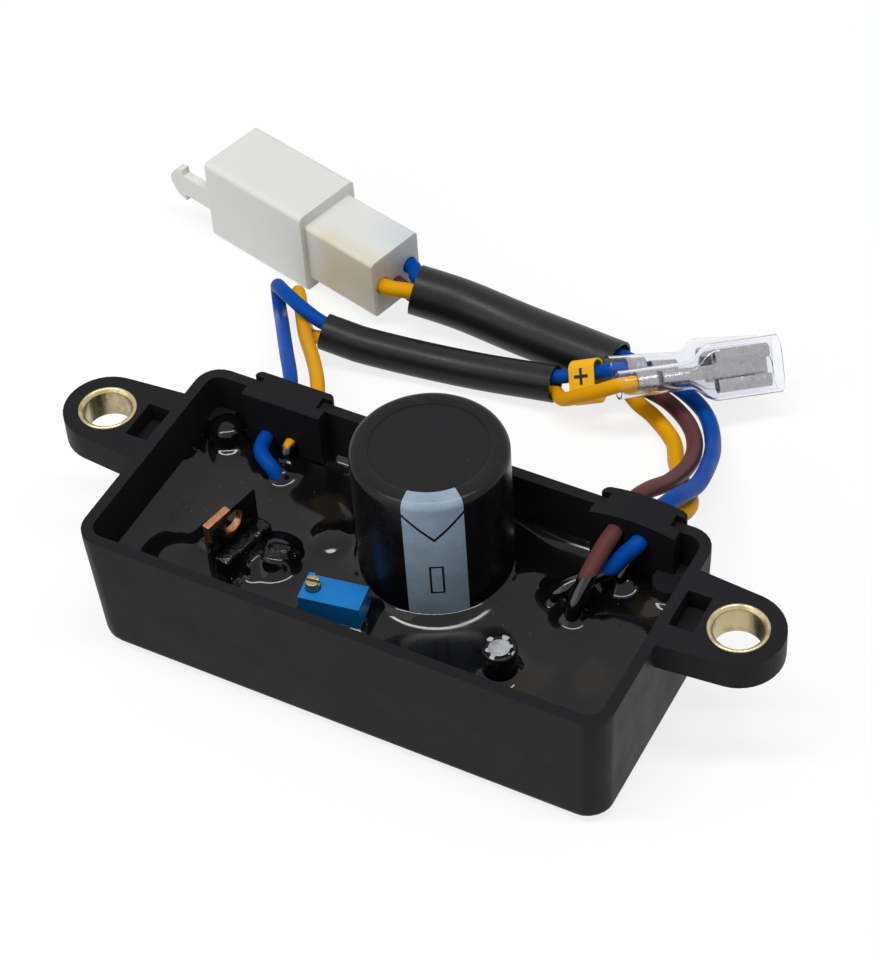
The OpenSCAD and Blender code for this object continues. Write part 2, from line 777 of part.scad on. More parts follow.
module small_capacitor_can() {
    color([0.85, 0.86, 0.88])
        translate([small_x, small_y, board_z])
            rotate_extrude()
                polygon(can_section(small_d / 2, 0, small_h - small_sleeve_t, 0.5));
}

module small_capacitor_sleeve() {
    color([0.05, 0.05, 0.06])
        translate([small_x, small_y, board_z])
            rotate_extrude()
                polygon(sleeve_section(small_d / 2, small_sleeve_t, 0, small_h - small_sleeve_t, 0.5,
                    small_d * 0.35));
}

module small_capacitor_pin_1() {
    color([0.8, 0.8, 0.78])
        pin_at(small_pin(0), board_z, pin_d);
}

module small_capacitor_pin_2() {
    color([0.8, 0.8, 0.78])
        pin_at(small_pin(1), board_z, pin_d);
}

module transistor_place() {
    translate([tr_x, tr_y, board_z])
        rotate([0, 0, tr_yaw])
            children();
}

module transistor_tab_form() {
    transistor_place()
        translate([-tr_tab_t / 2, -tr_w / 2, 0])
            cube([tr_tab_t, tr_w, tr_h]);
}

// The moulding stands in front of the tab and its upright faces lean a little
module transistor_body_form() {
    transistor_place()
        translate([0, tr_w / 2, 0])
            rotate([90, 0, 0])
                linear_extrude(tr_w)
                    polygon([[tr_tab_t / 2, 0], [tr_tab_t / 2 + tr_body_t - 0.3, 0],
                        [tr_tab_t / 2 + tr_body_t, tr_body_h / 2],
                        [tr_tab_t / 2 + tr_body_t - 0.7, tr_body_h], [tr_tab_t / 2, tr_body_h]]);
}

module transistor_tab() {
    color([0.72, 0.45, 0.3])
        difference() {
            transistor_tab_form();
            transistor_place()
                translate([-tr_tab_t, 0, tr_h - tr_hole / 2 - 1])
                    rotate([0, 90, 0])
                        cylinder(h = 2 * tr_tab_t, d = tr_hole);
        }
}

module transistor_body() {
    color([0.05, 0.05, 0.06])
        transistor_body_form();
}

module transistor_lead_1() {
    color([0.8, 0.8, 0.78])
        pin_at(tr_lead(0), board_z, pin_d);
}

module transistor_lead_2() {
    color([0.8, 0.8, 0.78])
        pin_at(tr_lead(1), board_z, pin_d);
}

module transistor_lead_3() {
    color([0.8, 0.8, 0.78])
        pin_at(tr_lead(2), board_z, pin_d);
}

module coated_form() {
    translate([coat_x, coat_y, board_z])
        rotate_extrude()
            polygon(can_section(coat_d / 2, 0, coat_h, coat_d * 0.4));
}

module coated_part() {
    color([0.04, 0.04, 0.05])
        coated_form();
}

module coated_part_lead_1() {
    color([0.8, 0.8, 0.78])
        pin_at(coat_lead(0), board_z, pin_d);
}

module coated_part_lead_2() {
    color([0.8, 0.8, 0.78])
        pin_at(coat_lead(1), board_z, pin_d);
}

module wire(route, d) {
    behind()
        tube(smooth(route), d / 2, 8);
}

module brush_wire_blue() {
    color([0.05, 0.25, 0.75])
        wire(brush_blue_route, brush_d);
}

module brush_wire_yellow() {
    color([0.95, 0.7, 0.1])
        wire(brush_yellow_route, brush_d);
}

module winding_wire_brown() {
    color([0.3, 0.17, 0.15])
        wire(winding_brown_route, winding_d);
}

module winding_wire_blue() {
    color([0.05, 0.25, 0.75])
        wire(winding_blue_route, winding_d);
}

module winding_wire_yellow() {
    color([0.95, 0.7, 0.1])
        wire(winding_yellow_route, winding_d);
}

// Hollow sleeve along a route; the hollow runs out past both ends
module sleeve(route, d) {
    p = smooth(route, 3);
    m = len(p) - 1;
    hollow = concat([2 * p[0] - p[1]], [for (i = [1:m - 1]) p[i]], [2 * p[m] - p[m - 1]]);
    behind()
        difference() {
            tube(p, d / 2, 12);
            tube(hollow, d / 2 - sleeve_t, 12);
        }
}

module brush_lead_sleeve() {
    color([0.06, 0.06, 0.06])
        sleeve(brush_sleeve_route, brush_sleeve_d);
}

module winding_lead_sleeve() {
    color([0.06, 0.06, 0.06])
        sleeve(winding_sleeve_route, winding_sleeve_d);
}

module turned_to(pos, turn) {
    behind()
        translate(pos)
            rotate([0, turn[1], turn[2]])
                rotate([turn[0], 0, 0])
                    children();
}

module wire_marker() {
    color([1, 0.6, 0.05])
        turned_to(marker_pos, marker_turn)
            rotate([90, 0, 90])
                linear_extrude(marker_l, center = true)
                    difference() {
                        polygon(round_rect(marker_w, marker_h, marker_w / 2 - 0.01));
                        polygon(round_rect(marker_w - 2 * marker_t, marker_h - 2 * marker_t,
                            marker_w / 2 - marker_t - 0.01));
                    }
}

// Section of a receptacle: a flat floor with both edges rolled over
function rolled_edge(side, n = 6) = let (r = recept_h / 2) [for (k = [0:n]) let (a = -90 + 230 * k / n)
    [side * (recept_w / 2 - r + r * cos(a)), r + r * sin(a)]];
function rolled_inside(side, n = 6) = let (r = recept_h / 2, q = r - sheet_t)
    [for (k = [n:-1:0]) let (a = -90 + 230 * k / n)
        [side * (recept_w / 2 - r + q * cos(a)), r + q * sin(a)]];

// Terminal along +X: insulation crimp, wire crimp, neck strip and receptacle
module terminal() {
    r = brush_d / 2 + 0.08;
    low = r + sheet_t - 0.3;
    start = cover_l - recept_l - 1.5;
    difference() {
        union() {
            translate([strip_in - grip_l - 0.2, 0, 0])
                rotate([0, 90, 0])
                    cylinder(h = grip_l, r = r + sheet_t);
            translate([strip_in - 0.2 - sheet_t, -r + 0.2, -low])
                cube([start - strip_in + 0.2 + 2 * sheet_t, 2 * r - 0.4, sheet_t]);
            translate([strip_in + 1, 0, r - low])
                rotate([0, 90, 0])
                    cylinder(h = crimp_l, r = r);
        }
        translate([0, 0, 0])
            rotate([0, 90, 0])
                cylinder(h = strip_in + 0.4, r = r);
    }
    translate([start, 0, recept_h / 2 - low])
        rotate([90, 0, 90])
            linear_extrude(recept_l)
                receptacle_flat();
}

// Floor and rolled edges of the receptacle as one outline
module receptacle_flat() {
    translate([-recept_w / 2 + recept_h / 2, -recept_h / 2])
        square([recept_w - recept_h, sheet_t]);
    for (side = [-1, 1])
        translate([0, -recept_h / 2])
            polygon(concat(rolled_edge(side), rolled_inside(side)));
}

// Ring of a cover at x: an ellipse-like outline of a given width and height
function cover_ring(x, w, h, p, n = 20) = [for (k = [0:n - 1]) let (a = 360 * k / n)
    [x, w / 2 * sign(cos(a)) * pow(abs(cos(a)), p), h / 2 * sign(sin(a)) * pow(abs(sin(a)), p)]];

module cover_form(t, over) {
    d = cover_neck_d - 2 * t;
    w = cover_w - 2 * t;
    h = cover_h - 2 * t;
    wide = cover_l - recept_l - 2;
    loft([cover_ring(-over, d, d, 1), cover_ring(wide - 4, d, d, 1),
        cover_ring(wide - 2.4, d + (w - d) * 0.25, d + (h - d) * 0.3, 0.9),
        cover_ring(wide - 0.8, d + (w - d) * 0.85, d + (h - d) * 0.9, 0.7),
        cover_ring(wide, w, h, 0.6), cover_ring(cover_l + over, w, h, 0.6)]);
}

module cover() {
    difference() {
        cover_form(0, 0);
        cover_form(cover_t, 1);
    }
}

module brush_terminal_blue() {
    color([0.75, 0.74, 0.7])
        turned_to(rear_pos, rear_turn)
            terminal();
}

module brush_terminal_yellow() {
    color([0.75, 0.74, 0.7])
        turned_to(front_pos, front_turn)
            terminal();
}

module terminal_cover_blue() {
    color([0.85, 0.88, 0.92, 0.4])
        turned_to(rear_pos, rear_turn)
            cover();
}

module terminal_cover_yellow() {
    color([0.85, 0.88, 0.92, 0.4])
        turned_to(front_pos, front_turn)
            cover();
}

module connector_place() {
    behind()
        translate(conn_pos)
            rotate([0, 0, conn_yaw])
                children();
}

module connector_block(l, w, h, r) {
    rotate([90, 0, 90])
        linear_extrude(l)
            polygon(round_rect(w, h, r));
}

// Tongue with a barbed tip, drawn flat and set upright on the shroud's front wall
module latch_form() {
    l = latch_l;
    a = latch_w / 2;
    b = latch_barb / 2;
    translate([0, latch_t, conn_h / 2])
        rotate([90, 0, 0])
            linear_extrude(latch_t)
                polygon([[2, -a], [2, a], [3.4 - l, a], [3.4 - l, b], [1.6 - l, b - 0.6], [-l, 0.8],
                    [-l, -0.8], [1.6 - l, 0.6 - b], [3.4 - l, -b], [3.4 - l, -a]]);
}

module connector_housing() {
    y = conn_w / 2;
    z = conn_h / 2;
    color([0.9, 0.9, 0.86])
        connector_place()
            difference() {
                union() {
                    translate([0, y, z])
                        connector_block(conn_l, conn_w, conn_h, 1);
                    translate([conn_l - 1, y, z])
                        connector_block(conn_rear_l + 1, conn_rear_w, conn_rear_h, 0.8);
                    latch_form();
                }
                translate([-1, y - conn_w / 2 + conn_wall, z - conn_h / 2 + conn_wall])
                    cube([conn_depth + 1, conn_w - 2 * conn_wall, conn_h - 2 * conn_wall]);
                for (side = [-1:1])
                    translate([conn_depth - 1, y + side * conn_pitch, bore_z(side)])
                        rotate([0, 90, 0])
                            cylinder(h = conn_l + conn_rear_l, r = winding_d / 2 + wire_gap / 2);
            }
}

// Blade in the shroud with a round shank that reaches to the end of its wire
module connector_tab(side) {
    r = winding_d / 2 + wire_gap / 2;
    root = conn_depth;
    end = conn_l + conn_rear_l - wire_reach - 0.1;
    color([0.8, 0.72, 0.5])
        connector_place()
            translate([0, conn_w / 2 + side * conn_pitch, bore_z(side)]) {
                translate([root, 0, 0])
                    rotate([0, 90, 0])
                        cylinder(h = end - root, r = r);
                translate([root - tab_l, -tab_t / 2, -tab_w / 2])
                    cube([tab_l + 0.01, tab_t, tab_w]);
            }
}

module connector_tab_1() {
    connector_tab(-1);
}

module connector_tab_2() {
    connector_tab(0);
}

module connector_tab_3() {
    connector_tab(1);
}

housing();
bushing_left();
bushing_right();
cable_insert_left();
cable_insert_right();
potting_resin();
circuit_board();
capacitor_can();
capacitor_sleeve();
capacitor_top_disc();
capacitor_seal();
capacitor_pin_1();
capacitor_pin_2();
trimmer_body();
trimmer_screw();
trimmer_pin_1();
trimmer_pin_2();
trimmer_pin_3();
small_capacitor_can();
small_capacitor_sleeve();
small_capacitor_pin_1();
small_capacitor_pin_2();
transistor_tab();
transistor_body();
transistor_lead_1();
transistor_lead_2();
transistor_lead_3();
coated_part();
coated_part_lead_1();
coated_part_lead_2();
brush_wire_blue();
brush_wire_yellow();
brush_lead_sleeve();
wire_marker();
brush_terminal_blue();
brush_terminal_yellow();
terminal_cover_blue();
terminal_cover_yellow();
winding_wire_brown();
winding_wire_blue();
winding_wire_yellow();
winding_lead_sleeve();
connector_housing();
connector_tab_1();
connector_tab_2();
connector_tab_3();
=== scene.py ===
"""Dresses a packed voltage regulator: tray, potting, capacitors, trimmer, leads, terminals and connector."""

import json
import math

import bmesh
import bpy
from bpy.props import FloatProperty, FloatVectorProperty, PointerProperty
from mathutils import Matrix, Vector, noise


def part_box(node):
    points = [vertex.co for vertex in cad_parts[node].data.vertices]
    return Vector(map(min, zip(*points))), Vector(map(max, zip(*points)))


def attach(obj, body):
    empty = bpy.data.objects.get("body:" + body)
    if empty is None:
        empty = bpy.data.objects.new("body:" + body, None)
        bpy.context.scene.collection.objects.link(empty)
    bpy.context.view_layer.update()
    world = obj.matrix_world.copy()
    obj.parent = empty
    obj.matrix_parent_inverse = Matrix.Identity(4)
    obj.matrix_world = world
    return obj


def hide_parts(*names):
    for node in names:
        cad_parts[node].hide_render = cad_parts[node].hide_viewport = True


bl_info = {
    "name": "Voltage Regulator Dresser",
    "version": (1, 0, 0),
    "blender": (4, 5, 0),
    "location": "3D View > Sidebar > Regulator",
    "description": "Gives the parts of a potted voltage regulator their finished shapes and materials",
    "category": "Object",
}

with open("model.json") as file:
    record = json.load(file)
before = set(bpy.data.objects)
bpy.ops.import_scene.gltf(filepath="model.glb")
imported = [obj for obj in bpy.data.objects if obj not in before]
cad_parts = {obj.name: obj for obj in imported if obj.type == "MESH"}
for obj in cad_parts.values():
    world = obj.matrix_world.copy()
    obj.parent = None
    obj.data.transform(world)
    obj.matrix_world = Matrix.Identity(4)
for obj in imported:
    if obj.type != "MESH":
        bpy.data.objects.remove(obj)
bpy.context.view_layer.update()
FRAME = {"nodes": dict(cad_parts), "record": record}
NODES = FRAME["nodes"]
BODY = "regulator"
SCREW_BODY = "trimmer_adjuster"
MM = 0.001

# Height in pixels of the picture that the camera is computed for
PICTURE_HEIGHT = 960

# Turns of the parts that stand askew in the tray, of the connector on the table, and of the lamps
LAMP_YAW = math.radians(28)
TRIMMER_YAW = math.radians(9)
TRANSISTOR_YAW = math.radians(-12)
CONNECTOR_YAW = math.radians(-15)

# Points of the lead routes in metres, as in the part's source; y is measured from the back wall's outer face
BACK_WALL_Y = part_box("housing")[1].y
BRUSH_SLEEVE = (
    (-0.041, 0.03, 0.0054), (-0.035, 0.0308, 0.0042), (-0.0245, 0.0327, 0.0032), (-0.014, 0.0342, 0.0032),
    (-0.005, 0.0353, 0.0039), (-0.001, 0.0356, 0.0044),
)
WINDING_SLEEVE = (
    (0.0065, 0.0435, 0.0044), (-0.002, 0.0442, 0.0044), (-0.012, 0.045, 0.0044), (-0.0215, 0.0452, 0.0054),
    (-0.027, 0.0445, 0.0064), (-0.0309, 0.0438, 0.0071),
)

# Each lead: node, finish, the sleeve it passes through, its place there, and its points before and after it
LEADS = (
    ("brush_wire_blue", "wire_blue", BRUSH_SLEEVE, (0, 0.00062, 0.00115), (
        (-0.0246, -0.01, 0.0092), (-0.0268, -0.0094, 0.015), (-0.0298, -0.008, 0.0164),
        (-0.031, -0.0055, 0.0165), (-0.031, -0.0015, 0.0165), (-0.031, 0.0025, 0.0165),
        (-0.0345, 0.009, 0.0155), (-0.0405, 0.0175, 0.012), (-0.0475, 0.0275, 0.0065),
        (-0.0502, 0.0314, 0.0034), (-0.0522, 0.0342, 0.0017), (-0.0536, 0.0362, 0.0022),
        (-0.0542, 0.0371, 0.004), (-0.0534, 0.0362, 0.0059), (-0.0516, 0.0346, 0.007),
        (-0.0492, 0.033, 0.0077), (-0.0454, 0.0312, 0.0078),
    ), (
        (0.0015, 0.0376, 0.0057), (0.00591, 0.03775, 0.00805), (0.00784, 0.03799, 0.00908),
        (0.01205, 0.04179, 0.00787),
    )),
    ("brush_wire_yellow", "wire_yellow", BRUSH_SLEEVE, (0, -0.00062, -0.00115), (
        (-0.027, -0.0062, 0.0092), (-0.027, -0.006, 0.0144), (-0.0268, -0.0046, 0.0165),
        (-0.0268, -0.0015, 0.0165), (-0.0268, 0.0025, 0.0165), (-0.0294, 0.0087, 0.0156),
        (-0.0345, 0.0162, 0.0126), (-0.0423, 0.0262, 0.0072), (-0.0456, 0.0309, 0.005),
        (-0.0476, 0.0338, 0.0052), (-0.0494, 0.0363, 0.0051), (-0.0505, 0.0377, 0.0042),
        (-0.0506, 0.0379, 0.0029), (-0.0494, 0.0364, 0.0017), (-0.047, 0.0334, 0.0015),
        (-0.0444, 0.0309, 0.0024),
    ), (
        (0.0016, 0.033, 0.0044), (0.0052, 0.0322, 0.0073), (0.0086, 0.0322, 0.0098),
        (0.01184, 0.0335, 0.01134), (0.01613, 0.03736, 0.01073),
    )),
    ("winding_wire_brown", "wire_brown", WINDING_SLEEVE, (0, 0, -0.00165), (
        (0.0269, -0.0174, 0.0092), (0.0269, -0.0158, 0.0152), (0.0275, -0.0122, 0.0193),
        (0.0279, -0.0074, 0.0212), (0.0283, -0.005, 0.022), (0.0283, -0.0015, 0.022),
        (0.0283, 0.0025, 0.022), (0.0286, 0.007, 0.02), (0.0289, 0.014, 0.0152),
        (0.028, 0.0235, 0.0095), (0.0254, 0.0318, 0.0052), (0.0216, 0.0378, 0.0028),
        (0.0165, 0.0416, 0.002), (0.0115, 0.0428, 0.0022),
    ), (
        (-0.03462, 0.04451, 0.0062), (-0.04177, 0.04642, 0.0062),
    )),
    ("winding_wire_blue", "wire_blue", WINDING_SLEEVE, (0, 0.00155, 0.00085), (
        (0.0224, -0.0154, 0.0092), (0.0234, -0.0134, 0.0154), (0.0287, -0.0084, 0.0175),
        (0.0308, -0.0062, 0.0198), (0.0322, -0.0048, 0.0214), (0.0322, -0.0015, 0.0214),
        (0.0322, 0.0025, 0.0214), (0.0326, 0.007, 0.0198), (0.0327, 0.0157, 0.0145),
        (0.0304, 0.0263, 0.009), (0.0275, 0.0341, 0.005), (0.0233, 0.041, 0.0026),
        (0.018, 0.0448, 0.002), (0.012, 0.0456, 0.0034),
    ), (
        (-0.03376, 0.04769, 0.0082), (-0.04091, 0.04961, 0.0082),
    )),
    ("winding_wire_yellow", "wire_yellow", WINDING_SLEEVE, (0, -0.00155, 0.00085), (
        (0.0302, -0.007, 0.0092), (0.0302, -0.0068, 0.0142), (0.0303, -0.0058, 0.016),
        (0.0304, -0.0044, 0.0166), (0.0304, -0.0015, 0.0166), (0.0304, 0.0025, 0.0166),
        (0.0315, 0.0066, 0.0157), (0.0328, 0.0106, 0.0134), (0.032, 0.015, 0.011),
        (0.0295, 0.0189, 0.0086), (0.0243, 0.0272, 0.0044), (0.0209, 0.0336, 0.0021),
        (0.0158, 0.0378, 0.0016), (0.012, 0.0392, 0.0023), (0.0092, 0.0404, 0.004),
    ), (
        (-0.03547, 0.04132, 0.0082), (-0.04262, 0.04323, 0.0082),
    )),
)

# Height below which resin covers each wire in the tray, and how far the inserts reach in from the back wall
DIPPED = {
    "brush_wire_blue": 0.0148, "brush_wire_yellow": 0.0176, "winding_wire_brown": 0.0203,
    "winding_wire_blue": 0.0181, "winding_wire_yellow": 0.03,
}
INSERT_DEPTH = 0.0038

# Points between two points of a wire's or a sleeve's route, and sides of a sleeve
WIRE_STEPS = 6
SLEEVE_STEPS = 8
SLEEVE_SIDES = 40

# Corner of the connector's mouth, on the table
CONNECTOR = (-0.0739, 0.0482, 0)

# Where the two spade terminals and the marker sit on their wires: place, then roll, pitch and yaw in degrees
FRONT_TERMINAL = ((0.0114, 0.0331, 0.0114), (50, 6, 42))
REAR_TERMINAL = ((0.0074, 0.0376, 0.0092), (0, 12, 42))
MARKER = ((0.0042, 0.0368, 0.006), (-42, -28, 2))

# Wall, sides and steps of the terminal covers, and depth of the turned-in lip of the capacitors' film
COVER_WALL = 0.00035
COVER_SIDES = 48
COVER_STEPS = 24
LIP_DROP = 0.6 * MM

# Edges sharper than SHARP_ANGLE are shaded sharp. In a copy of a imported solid, points nearer than JOIN and
# faces flatter than FLAT_ANGLE are joined, and edges sharper than CORNER_ANGLE are rounded
SHARP_ANGLE = math.radians(40)
JOIN = 1e-6
FLAT_ANGLE = math.radians(0.6)
CORNER_ANGLE = math.radians(25.0)

# Rounding of the edges of each such copy; the tray's own is a setting
EDGES = {
    "wire_marker": 0.00012, "capacitor_top_disc": 0.0001, "small_capacitor_can": 0.0001,
    "trimmer_body": 0.0002, "trimmer_screw": 0.00008,
    "transistor_tab": 0.00015, "transistor_body": 0.0002, "coated_part": 0.0002, "connector_housing": 0.0002,
    "connector_tab_1": 0.0001, "connector_tab_2": 0.0001, "connector_tab_3": 0.0001,
    "brush_terminal_blue": 0.00006, "brush_terminal_yellow": 0.00006,
}

# Half sizes of the tray at its rim, its height, how far its walls lean in, and the rounding of its foot and
# corners with the steps of each
TRAY_HALF_SIZES = (43.25 * MM, 20.0 * MM)
TRAY_HEIGHT = 23.6 * MM
TRAY_DRAFT = 0.8 * MM
FOOT_ROUND = 2.2 * MM
FOOT_STEPS = 5
CORNER_ROUND = 4.0 * MM
CORNER_STEPS = 6

# Ends of the corner cuts, how far they stand off the walls so that they run out just below the rim, the outer
# corner of a cutter in corner radii, and how near points are joined after the cut
CUT_BOTTOM = -0.5 * MM
CUT_TOP = 23.0 * MM
CUT_CLEAR = 0.04 * MM
CUT_OUTER = (1.6, 1.6)
CUT_JOIN = 2e-6

# How high and how far the resin climbs, as shares of its settings: on the walls, on round parts of a radius,
# on turned blocks of a length and width, and on the wires and posts by their places
WALL_CLIMB = (1.3, 1.7)
ROUND_CLIMBS = (
    ("capacitor_sleeve", 0.0117, 1.9, 2.6), ("small_capacitor_sleeve", 0.0025, 1.1, 1.1),
    ("coated_part", 0.0024, 1.6, 1.2),
)
BLOCK_CLIMBS = (
    ("trimmer_body", TRIMMER_YAW, 0.00953, 0.00483, 0.6, 0.9),
    ("transistor_tab", TRANSISTOR_YAW, 0.0102, 0.0044, 1.3, 1.2),
)
PLACE_CLIMBS = (
    ((-0.0265, 0.0109), 0.0012, 0.8, 1.0), ((-0.027, 0.014), 0.0012, 0.8, 1.0),
    ((0.0269, 0.0045), 0.0014, 0.9, 1.2), ((0.0236, 0.007), 0.0014, 0.9, 1.2),
    ((0.0376, 0.0144), 0.0027, 0.9, 1.3), ((-0.0376, 0.0144), 0.0027, 0.9, 1.3),
)

# Mounds where the resin covers small parts and the ends of the wires: place, height and reach
MOUNDS = (
    ((-0.0262, 0.0131), 0.00095, 0.003), ((-0.0197, -0.0045), 0.0013, 0.0042),
    ((-0.0127, 0.0028), 0.00095, 0.003), ((0.0262, 0.0052), 0.001, 0.0024),
    ((0.0226, 0.0072), 0.0008, 0.0024), ((0.0302, 0.014), 0.0016, 0.0027),
    ((0.0145, -0.0145), 0.0004, 0.003), ((-0.033, -0.01), 0.0005, 0.0036),
)

# Places where the resin is thin and the parts below show through: place and width
THIN_PLACES = (
    ((0.0367, 0.0106), 0.004), ((0.0264, -0.0083), 0.0045), ((0.0345, -0.005), 0.004),
    ((-0.0165, 0.008), 0.004), ((0.0165, -0.0148), 0.0025),
)

# Rounding of the resin's corners in the tray, and the ripples on it
RESIN_CORNER = 0.0022
RIPPLES_PER_METRE = 110
RIPPLE_HEIGHT = 0.00008

# Lamps: direction from the target, distance, and length and width; then half the side of the floor
KEY_LAMP = ((0.02, -0.1, 1.0), 1.2, (1.3, 0.11))
FILL_LAMP = ((-0.45, -0.75, 0.55), 1.3, (1.2, 1.2))
FLOOR_REACH = 3.0

# Colours of dust and of scuffs
DUST_ON_PLASTIC = (0.4, 0.39, 0.37)
DUST_ON_RESIN = (0.45, 0.44, 0.42)
SCUFFED_FILM = (0.1, 0.1, 0.11)


class StageSettings(bpy.types.PropertyGroup):
    """Camera, lamps and floor."""

    azimuth: FloatProperty(
        name="Azimuth", description="Direction the camera looks from", default=math.radians(30.61),
        subtype="ANGLE")
    elevation: FloatProperty(
        name="Elevation", description="Height angle of the camera", default=math.radians(46.39),
        subtype="ANGLE")
    roll: FloatProperty(
        name="Roll", description="Tilt of the picture", default=math.radians(-4.28), subtype="ANGLE")
    distance: FloatProperty(
        name="Distance", description="From the camera to its target", default=0.42965, unit="LENGTH")
    target: FloatVectorProperty(
        name="Target", description="Point in the middle of the picture", default=(-0.005, 0.02213, 0.012),
        subtype="TRANSLATION")
    focal_pixels: FloatProperty(
        name="Focal Length", description="Focal length in pixels of the picture", default=2783.85)
    world_light: FloatProperty(
        name="World Light", description="Strength of the light from all around", default=0.28)
    key_power: FloatProperty(
        name="Key Lamp", description="Power of the long lamp overhead", default=10.0, unit="POWER")
    fill_power: FloatProperty(
        name="Fill Lamp", description="Power of the large soft lamp at the left front", default=4.0,
        unit="POWER")
    floor_colour: FloatVectorProperty(
        name="Floor", description="Colour of the floor", default=(0.8, 0.8, 0.8), subtype="COLOR")
    floor_glow: FloatProperty(
        name="Floor White", description="Share of the floor's white that shadow leaves", default=0.8)


class LeadSettings(bpy.types.PropertyGroup):
    """Wires, sleeves and marker."""

    brush_diameter: FloatProperty(
        name="Brush Wire", description="Diameter of the two brush wires", default=0.0024, unit="LENGTH")
    winding_diameter: FloatProperty(
        name="Winding Wire", description="Diameter of the three winding wires", default=0.0027, unit="LENGTH")
    brush_sleeve: FloatProperty(
        name="Brush Sleeve", description="Outer diameter of the sleeve on the brush wires", default=0.0062,
        unit="LENGTH")
    winding_sleeve: FloatProperty(
        name="Winding Sleeve", description="Outer diameter of the sleeve on the winding wires",
        default=0.0086, unit="LENGTH")
    sleeve_wall: FloatProperty(
        name="Sleeve Wall", description="Wall of both sleeves", default=0.00045, unit="LENGTH")
    blue: FloatVectorProperty(
        name="Blue", description="Blue insulation", default=(0.001, 0.068, 0.37), subtype="COLOR")
    yellow: FloatVectorProperty(
        name="Yellow", description="Yellow insulation", default=(0.8, 0.37, 0.003), subtype="COLOR")
    brown: FloatVectorProperty(
        name="Brown", description="Brown insulation", default=(0.125, 0.043, 0.041), subtype="COLOR")
    sleeve_colour: FloatVectorProperty(
        name="Sleeve", description="Black of both sleeves", default=(0.008, 0.008, 0.009), subtype="COLOR")
    marker_colour: FloatVectorProperty(
        name="Marker", description="Orange of the wire marker", default=(0.97, 0.52, 0.01), subtype="COLOR")


class TraySettings(bpy.types.PropertyGroup):
    """Moulded tray, inserts and bushings."""

    edge: FloatProperty(
        name="Edge", description="Rounding of the moulded edges", default=0.0003, unit="LENGTH")
    plastic: FloatVectorProperty(
        name="Plastic", description="Charcoal of the tray", default=(0.0135, 0.0135, 0.0152), subtype="COLOR")
    rubber: FloatVectorProperty(
        name="Rubber", description="Black of the cable inserts", default=(0.0105, 0.0105, 0.012),
        subtype="COLOR")
    brass: FloatVectorProperty(
        name="Brass", description="Brass of the bushings", default=(0.5, 0.42, 0.24), subtype="COLOR")


class PottingSettings(bpy.types.PropertyGroup):
    """Poured resin."""

    cell: FloatProperty(
        name="Cell", description="Size of the cells of the poured surface", default=0.0004, unit="LENGTH")
    climb: FloatProperty(
        name="Climb", description="Height the resin climbs up what it touches", default=0.0011, unit="LENGTH")
    reach: FloatProperty(
        name="Reach", description="Width of that climb", default=0.0009, unit="LENGTH")
    colour: FloatVectorProperty(
        name="Resin", description="Near-black of the resin", default=(0.0035, 0.0035, 0.0042),
        subtype="COLOR")
    bare_colour: FloatVectorProperty(
        name="Thin Resin", description="Olive brown where the resin is thin", default=(0.014, 0.0105, 0.006),
        subtype="COLOR")


class ComponentSettings(bpy.types.PropertyGroup):
    """Capacitors, trimmer and transistor."""

    film: FloatVectorProperty(
        name="Film", description="Black film of the capacitors", default=(0.004, 0.004, 0.005),
        subtype="COLOR")
    stripe: FloatVectorProperty(
        name="Stripe", description="Polarity stripe", default=(0.32, 0.42, 0.53), subtype="COLOR")
    stripe_middle: FloatProperty(
        name="Stripe Middle", description="Direction of the stripe's middle", default=math.radians(-60.5),
        subtype="ANGLE")
    stripe_half: FloatProperty(
        name="Stripe Half Width", description="Half the angle of the stripe", default=math.radians(22.3),
        subtype="ANGLE")
    flakes: FloatVectorProperty(
        name="Flakes", description="Pale flakes on the small capacitor's lip", default=(0.5, 0.51, 0.53),
        subtype="COLOR")
    small_top: FloatProperty(
        name="Small Top", description="Height of the small capacitor's top",
        default=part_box("small_capacitor_sleeve")[1].z, unit="LENGTH")
    trimmer_colour: FloatVectorProperty(
        name="Trimmer", description="Blue of the trimmer", default=(0.005, 0.19, 0.56), subtype="COLOR")
    copper: FloatVectorProperty(
        name="Copper", description="Copper of the transistor tab", default=(0.52, 0.24, 0.125),
        subtype="COLOR")
    screw_brass: FloatVectorProperty(
        name="Screw", description="Brass of the trimmer screw", default=(0.36, 0.29, 0.16), subtype="COLOR")


class FittingSettings(bpy.types.PropertyGroup):
    """Connector, spade terminals and their covers."""

    nylon: FloatVectorProperty(
        name="Nylon", description="Milky nylon of the connector", default=(0.77, 0.78, 0.74), subtype="COLOR")
    tin: FloatVectorProperty(
        name="Tin", description="Tinned metal of the terminals", default=(0.42, 0.41, 0.4), subtype="COLOR")
    clear: FloatVectorProperty(
        name="Clear", description="Clear soft covers", default=(0.94, 0.95, 0.985), subtype="COLOR")
    tab_brass: FloatVectorProperty(
        name="Tab", description="Brass of the connector tabs", default=(0.7, 0.6, 0.36), subtype="COLOR")


SETTINGS = {
    "regulator_stage": StageSettings,
    "regulator_leads": LeadSettings,
    "regulator_tray": TraySettings,
    "regulator_potting": PottingSettings,
    "regulator_components": ComponentSettings,
    "regulator_fittings": FittingSettings,
}


def settings(context, name):
    """The property group of that name."""
    return getattr(context.scene, "regulator_" + name)


# Shader helpers


def add_node(tree, kind, inputs=(), **attributes):
    """Adds a node, sets its attributes, and sets or links its inputs, a dict of socket name or number."""
    made = tree.nodes.new(kind)
    for key, value in attributes.items():
        setattr(made, key, value)
    for key, value in dict(inputs).items():
        if isinstance(value, bpy.types.NodeSocket):
            tree.links.new(value, made.inputs[key])
        else:
            made.inputs[key].default_value = value
    return made


def math_node(tree, operation, first, second=0.0):
    """The value of one math step."""
    return add_node(tree, "ShaderNodeMath", {0: first, 1: second, 2: 0.0}, operation=operation).outputs[0]


